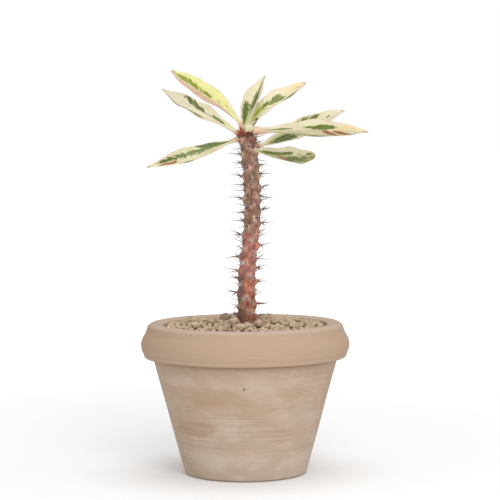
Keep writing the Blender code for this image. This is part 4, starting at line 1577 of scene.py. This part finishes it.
class EUPHORBIA_OT_leaves(Operator):
    """Model each leaf of the crown as a folded, waved blade with its own variegation"""

    bl_idname = "euphorbia.leaves"
    bl_label = "Leaves"

    def execute(self, context):
        settings = context.scene.euphorbia_leaf
        for name, shape in LEAVES.items():
            leaf = self.blade(name, shape, settings.thickness)
            leaf.data.materials.append(leaf_material(name, 0, settings))
            leaf.data.materials.append(leaf_material(name, 1, settings))
            finish_piece(leaf, name, name)
        return {"FINISHED"}

    def blade(self, name, shape, thickness):
        """Bend a flat grid along the midrib, fold and wave it, and give it its thickness."""
        leaf = primitive(
            f"{name}_blade", bpy.ops.mesh.primitive_grid_add,
            x_subdivisions=LEAF_COLUMNS, y_subdivisions=LEAF_ROWS, size=2.0,
        )
        line = leaf_midrib(shape, LEAF_ROWS)
        form = LEAF_FORMS[name]
        slope = math.radians(shape.fold)
        seed = sum(ord(letter) for letter in name)
        places = []
        for vertex in leaf.data.vertices:
            share = (vertex.co.y + 1.0) / 2
            side = -vertex.co.x
            point, across, up = line[round(share * LEAF_ROWS)]
            half = leaf_half_width(share, shape, form) * (1.0 + form.lean * side)
            ragged = noise.noise(Vector((share * 9.0, 3.0 * math.copysign(1.0, side), seed)))
            half *= 1.0 + 0.07 * ragged * abs(side) ** 3
            fold = (math.sqrt(side * side + 0.02) - math.sqrt(0.02)) * half * math.sin(slope)
            phase = form.start + (0.37 if side < 0 else 0.0)
            fade = math.sin(math.pi * share)
            wave = math.sin(math.tau * (form.waves * share + phase)) * side * side * fade
            crown = -0.10 * half * math.sin(math.pi * abs(side)) * fade
            place = point + across * side * half * math.cos(slope)
            place += Vector(form.drawn) * MM * (1.0 - share) ** 3
            places.append((place + up * (fold + wave * form.wave * MM + crown), share, side))
        for vertex, (place, _, _) in zip(leaf.data.vertices, places):
            vertex.co = place
        solidify = leaf.modifiers.new("thickness", "SOLIDIFY")
        solidify.thickness = thickness
        solidify.offset = -1.0
        solidify.material_offset = 1
        apply_modifiers(leaf)
        under_side = leaf.data.vertices[len(places):]
        for under, (place, share, side) in zip(under_side, places):
            under.co = place + (under.co - place).normalized() * leaf_thickness(share, side, thickness)
        smooth(leaf, 60)
        return leaf


# --- Stage ----------------------------------------------------------------------------------------


def add_light(name, place, target, size, power):
    data = bpy.data.lights.new(name, "AREA")
    data.shape = "DISK"
    data.size = size
    data.energy = power
    light = bpy.data.objects.new(name, data)
    light.location = place
    light.rotation_mode = "QUATERNION"
    light.rotation_quaternion = (Vector(target) - Vector(place)).to_track_quat("-Z", "Y")
    bpy.context.scene.collection.objects.link(light)


class EUPHORBIA_OT_stage(Operator):
    """Set the pale floor, the soft studio light and the camera"""

    bl_idname = "euphorbia.stage"
    bl_label = "Stage"

    def execute(self, context):
        settings = context.scene.euphorbia_stage
        self.floor(settings)
        self.light(context.scene)
        self.camera(context.scene, settings)
        context.scene.view_settings.view_transform = "Standard"
        return {"FINISHED"}

    def floor(self, settings):
        floor = primitive("floor", bpy.ops.mesh.primitive_plane_add, size=30.0, location=(0, 0, 0))
        material, nodes, shader = new_material("studio_floor", 0.9, specular=0.1)
        place = nodes.place()
        faint = nodes.noise(place, 3.0)
        tone = nodes.mix(nodes.between(faint, 0.3, 0.7, 0.0, 0.3), settings.floor, FLOOR_PALE)
        nodes.feed(shader.inputs["Base Color"], tone)
        # The floor glows: painted light, faint beside the pot and stronger toward the edge, so the floor
        # fades to white and its shadows stay faint.
        glow = nodes.between(nodes.length(place), 0.06, 1.3, 0.16, 0.74)
        nodes.feed(shader.inputs["Emission Color"], nodes.mix(glow, (0.0, 0.0, 0.0), (1.0, 1.0, 1.0)))
        shader.inputs["Emission Strength"].default_value = 1.0
        floor.data.materials.append(material)

    def light(self, scene):
        world = bpy.data.worlds.new("studio")
        scene.world = world
        world.use_nodes = True
        nodes = Nodes(world.node_tree)
        lamp = world.node_tree.nodes["Background"]
        lamp.inputs["Color"].default_value = (1.0, 1.0, 1.0, 1.0)
        lamp.inputs["Strength"].default_value = WORLD_STRENGTH
        screen = nodes.add("ShaderNodeBackground", {"Color": (1.0, 1.0, 1.0), "Strength": 1.0})
        seen = nodes.add("ShaderNodeLightPath").outputs["Is Camera Ray"]
        inputs = {0: seen, 1: lamp.outputs["Background"], 2: screen.outputs["Background"]}
        both = nodes.add("ShaderNodeMixShader", inputs).outputs["Shader"]
        nodes.feed(world.node_tree.nodes["World Output"].inputs["Surface"], both)
        add_light("overhead", place=(0.1, 0.0, 1.6), target=(0, 0, 0.1), size=1.4, power=11.0)
        add_light("front_right", place=(0.34, -1.45, 0.95), target=(0, 0, 0.12), size=1.0, power=12.9)

    def camera(self, scene, settings):
        camera = bpy.data.objects.new("camera", bpy.data.cameras.new("camera"))
        camera.data.lens = settings.lens
        camera.data.sensor_width = 36.0
        camera.data.clip_end = 50.0
        aim = (
            Matrix.Rotation(CAMERA_TURN, 4, "Z")
            @ Matrix.Rotation(math.pi / 2 - settings.tilt, 4, "X")
            @ Matrix.Rotation(CAMERA_ROLL, 4, "Z")
        )
        camera.matrix_world = Matrix.Translation((0, -settings.distance, settings.height)) @ aim
        scene.collection.objects.link(camera)
        scene.camera = camera


# --- Add-on ---------------------------------------------------------------------------------------


OPERATORS = (
    EUPHORBIA_OT_pot, EUPHORBIA_OT_soil, EUPHORBIA_OT_gravel, EUPHORBIA_OT_stones,
    EUPHORBIA_OT_stem, EUPHORBIA_OT_crown, EUPHORBIA_OT_leaves, EUPHORBIA_OT_stage,
)

SETTINGS = {
    "euphorbia_pot": PotSettings, "euphorbia_gravel": GravelSettings, "euphorbia_stem": StemSettings,
    "euphorbia_leaf": LeafSettings, "euphorbia_stage": StageSettings,
}


class EUPHORBIA_PT_panel(Panel):
    """Lists the pieces of the potted euphorbia and their settings"""

    bl_idname = "EUPHORBIA_PT_panel"
    bl_label = "Potted Euphorbia"
    bl_space_type = "VIEW_3D"
    bl_region_type = "UI"
    bl_category = "Euphorbia"

    def draw(self, context):
        for operator in OPERATORS:
            self.layout.operator(operator.bl_idname)
        for name, group in SETTINGS.items():
            box = self.layout.box()
            for setting in group.__annotations__:
                box.prop(getattr(context.scene, name), setting)


CLASSES = (*SETTINGS.values(), *OPERATORS, EUPHORBIA_PT_panel)


def register():
    for group in CLASSES:
        bpy.utils.register_class(group)
    for name, group in SETTINGS.items():
        setattr(bpy.types.Scene, name, PointerProperty(type=group))


def unregister():
    for name in SETTINGS:
        delattr(bpy.types.Scene, name)
    for group in reversed(CLASSES):
        bpy.utils.unregister_class(group)


def main():
    register()
    bpy.ops.euphorbia.pot()
    bpy.ops.euphorbia.soil()
    bpy.ops.euphorbia.gravel()
    bpy.ops.euphorbia.stones()
    bpy.ops.euphorbia.stem()
    bpy.ops.euphorbia.crown()
    bpy.ops.euphorbia.leaves()
    bpy.ops.euphorbia.stage()


if __name__ == "__main__":
    main()
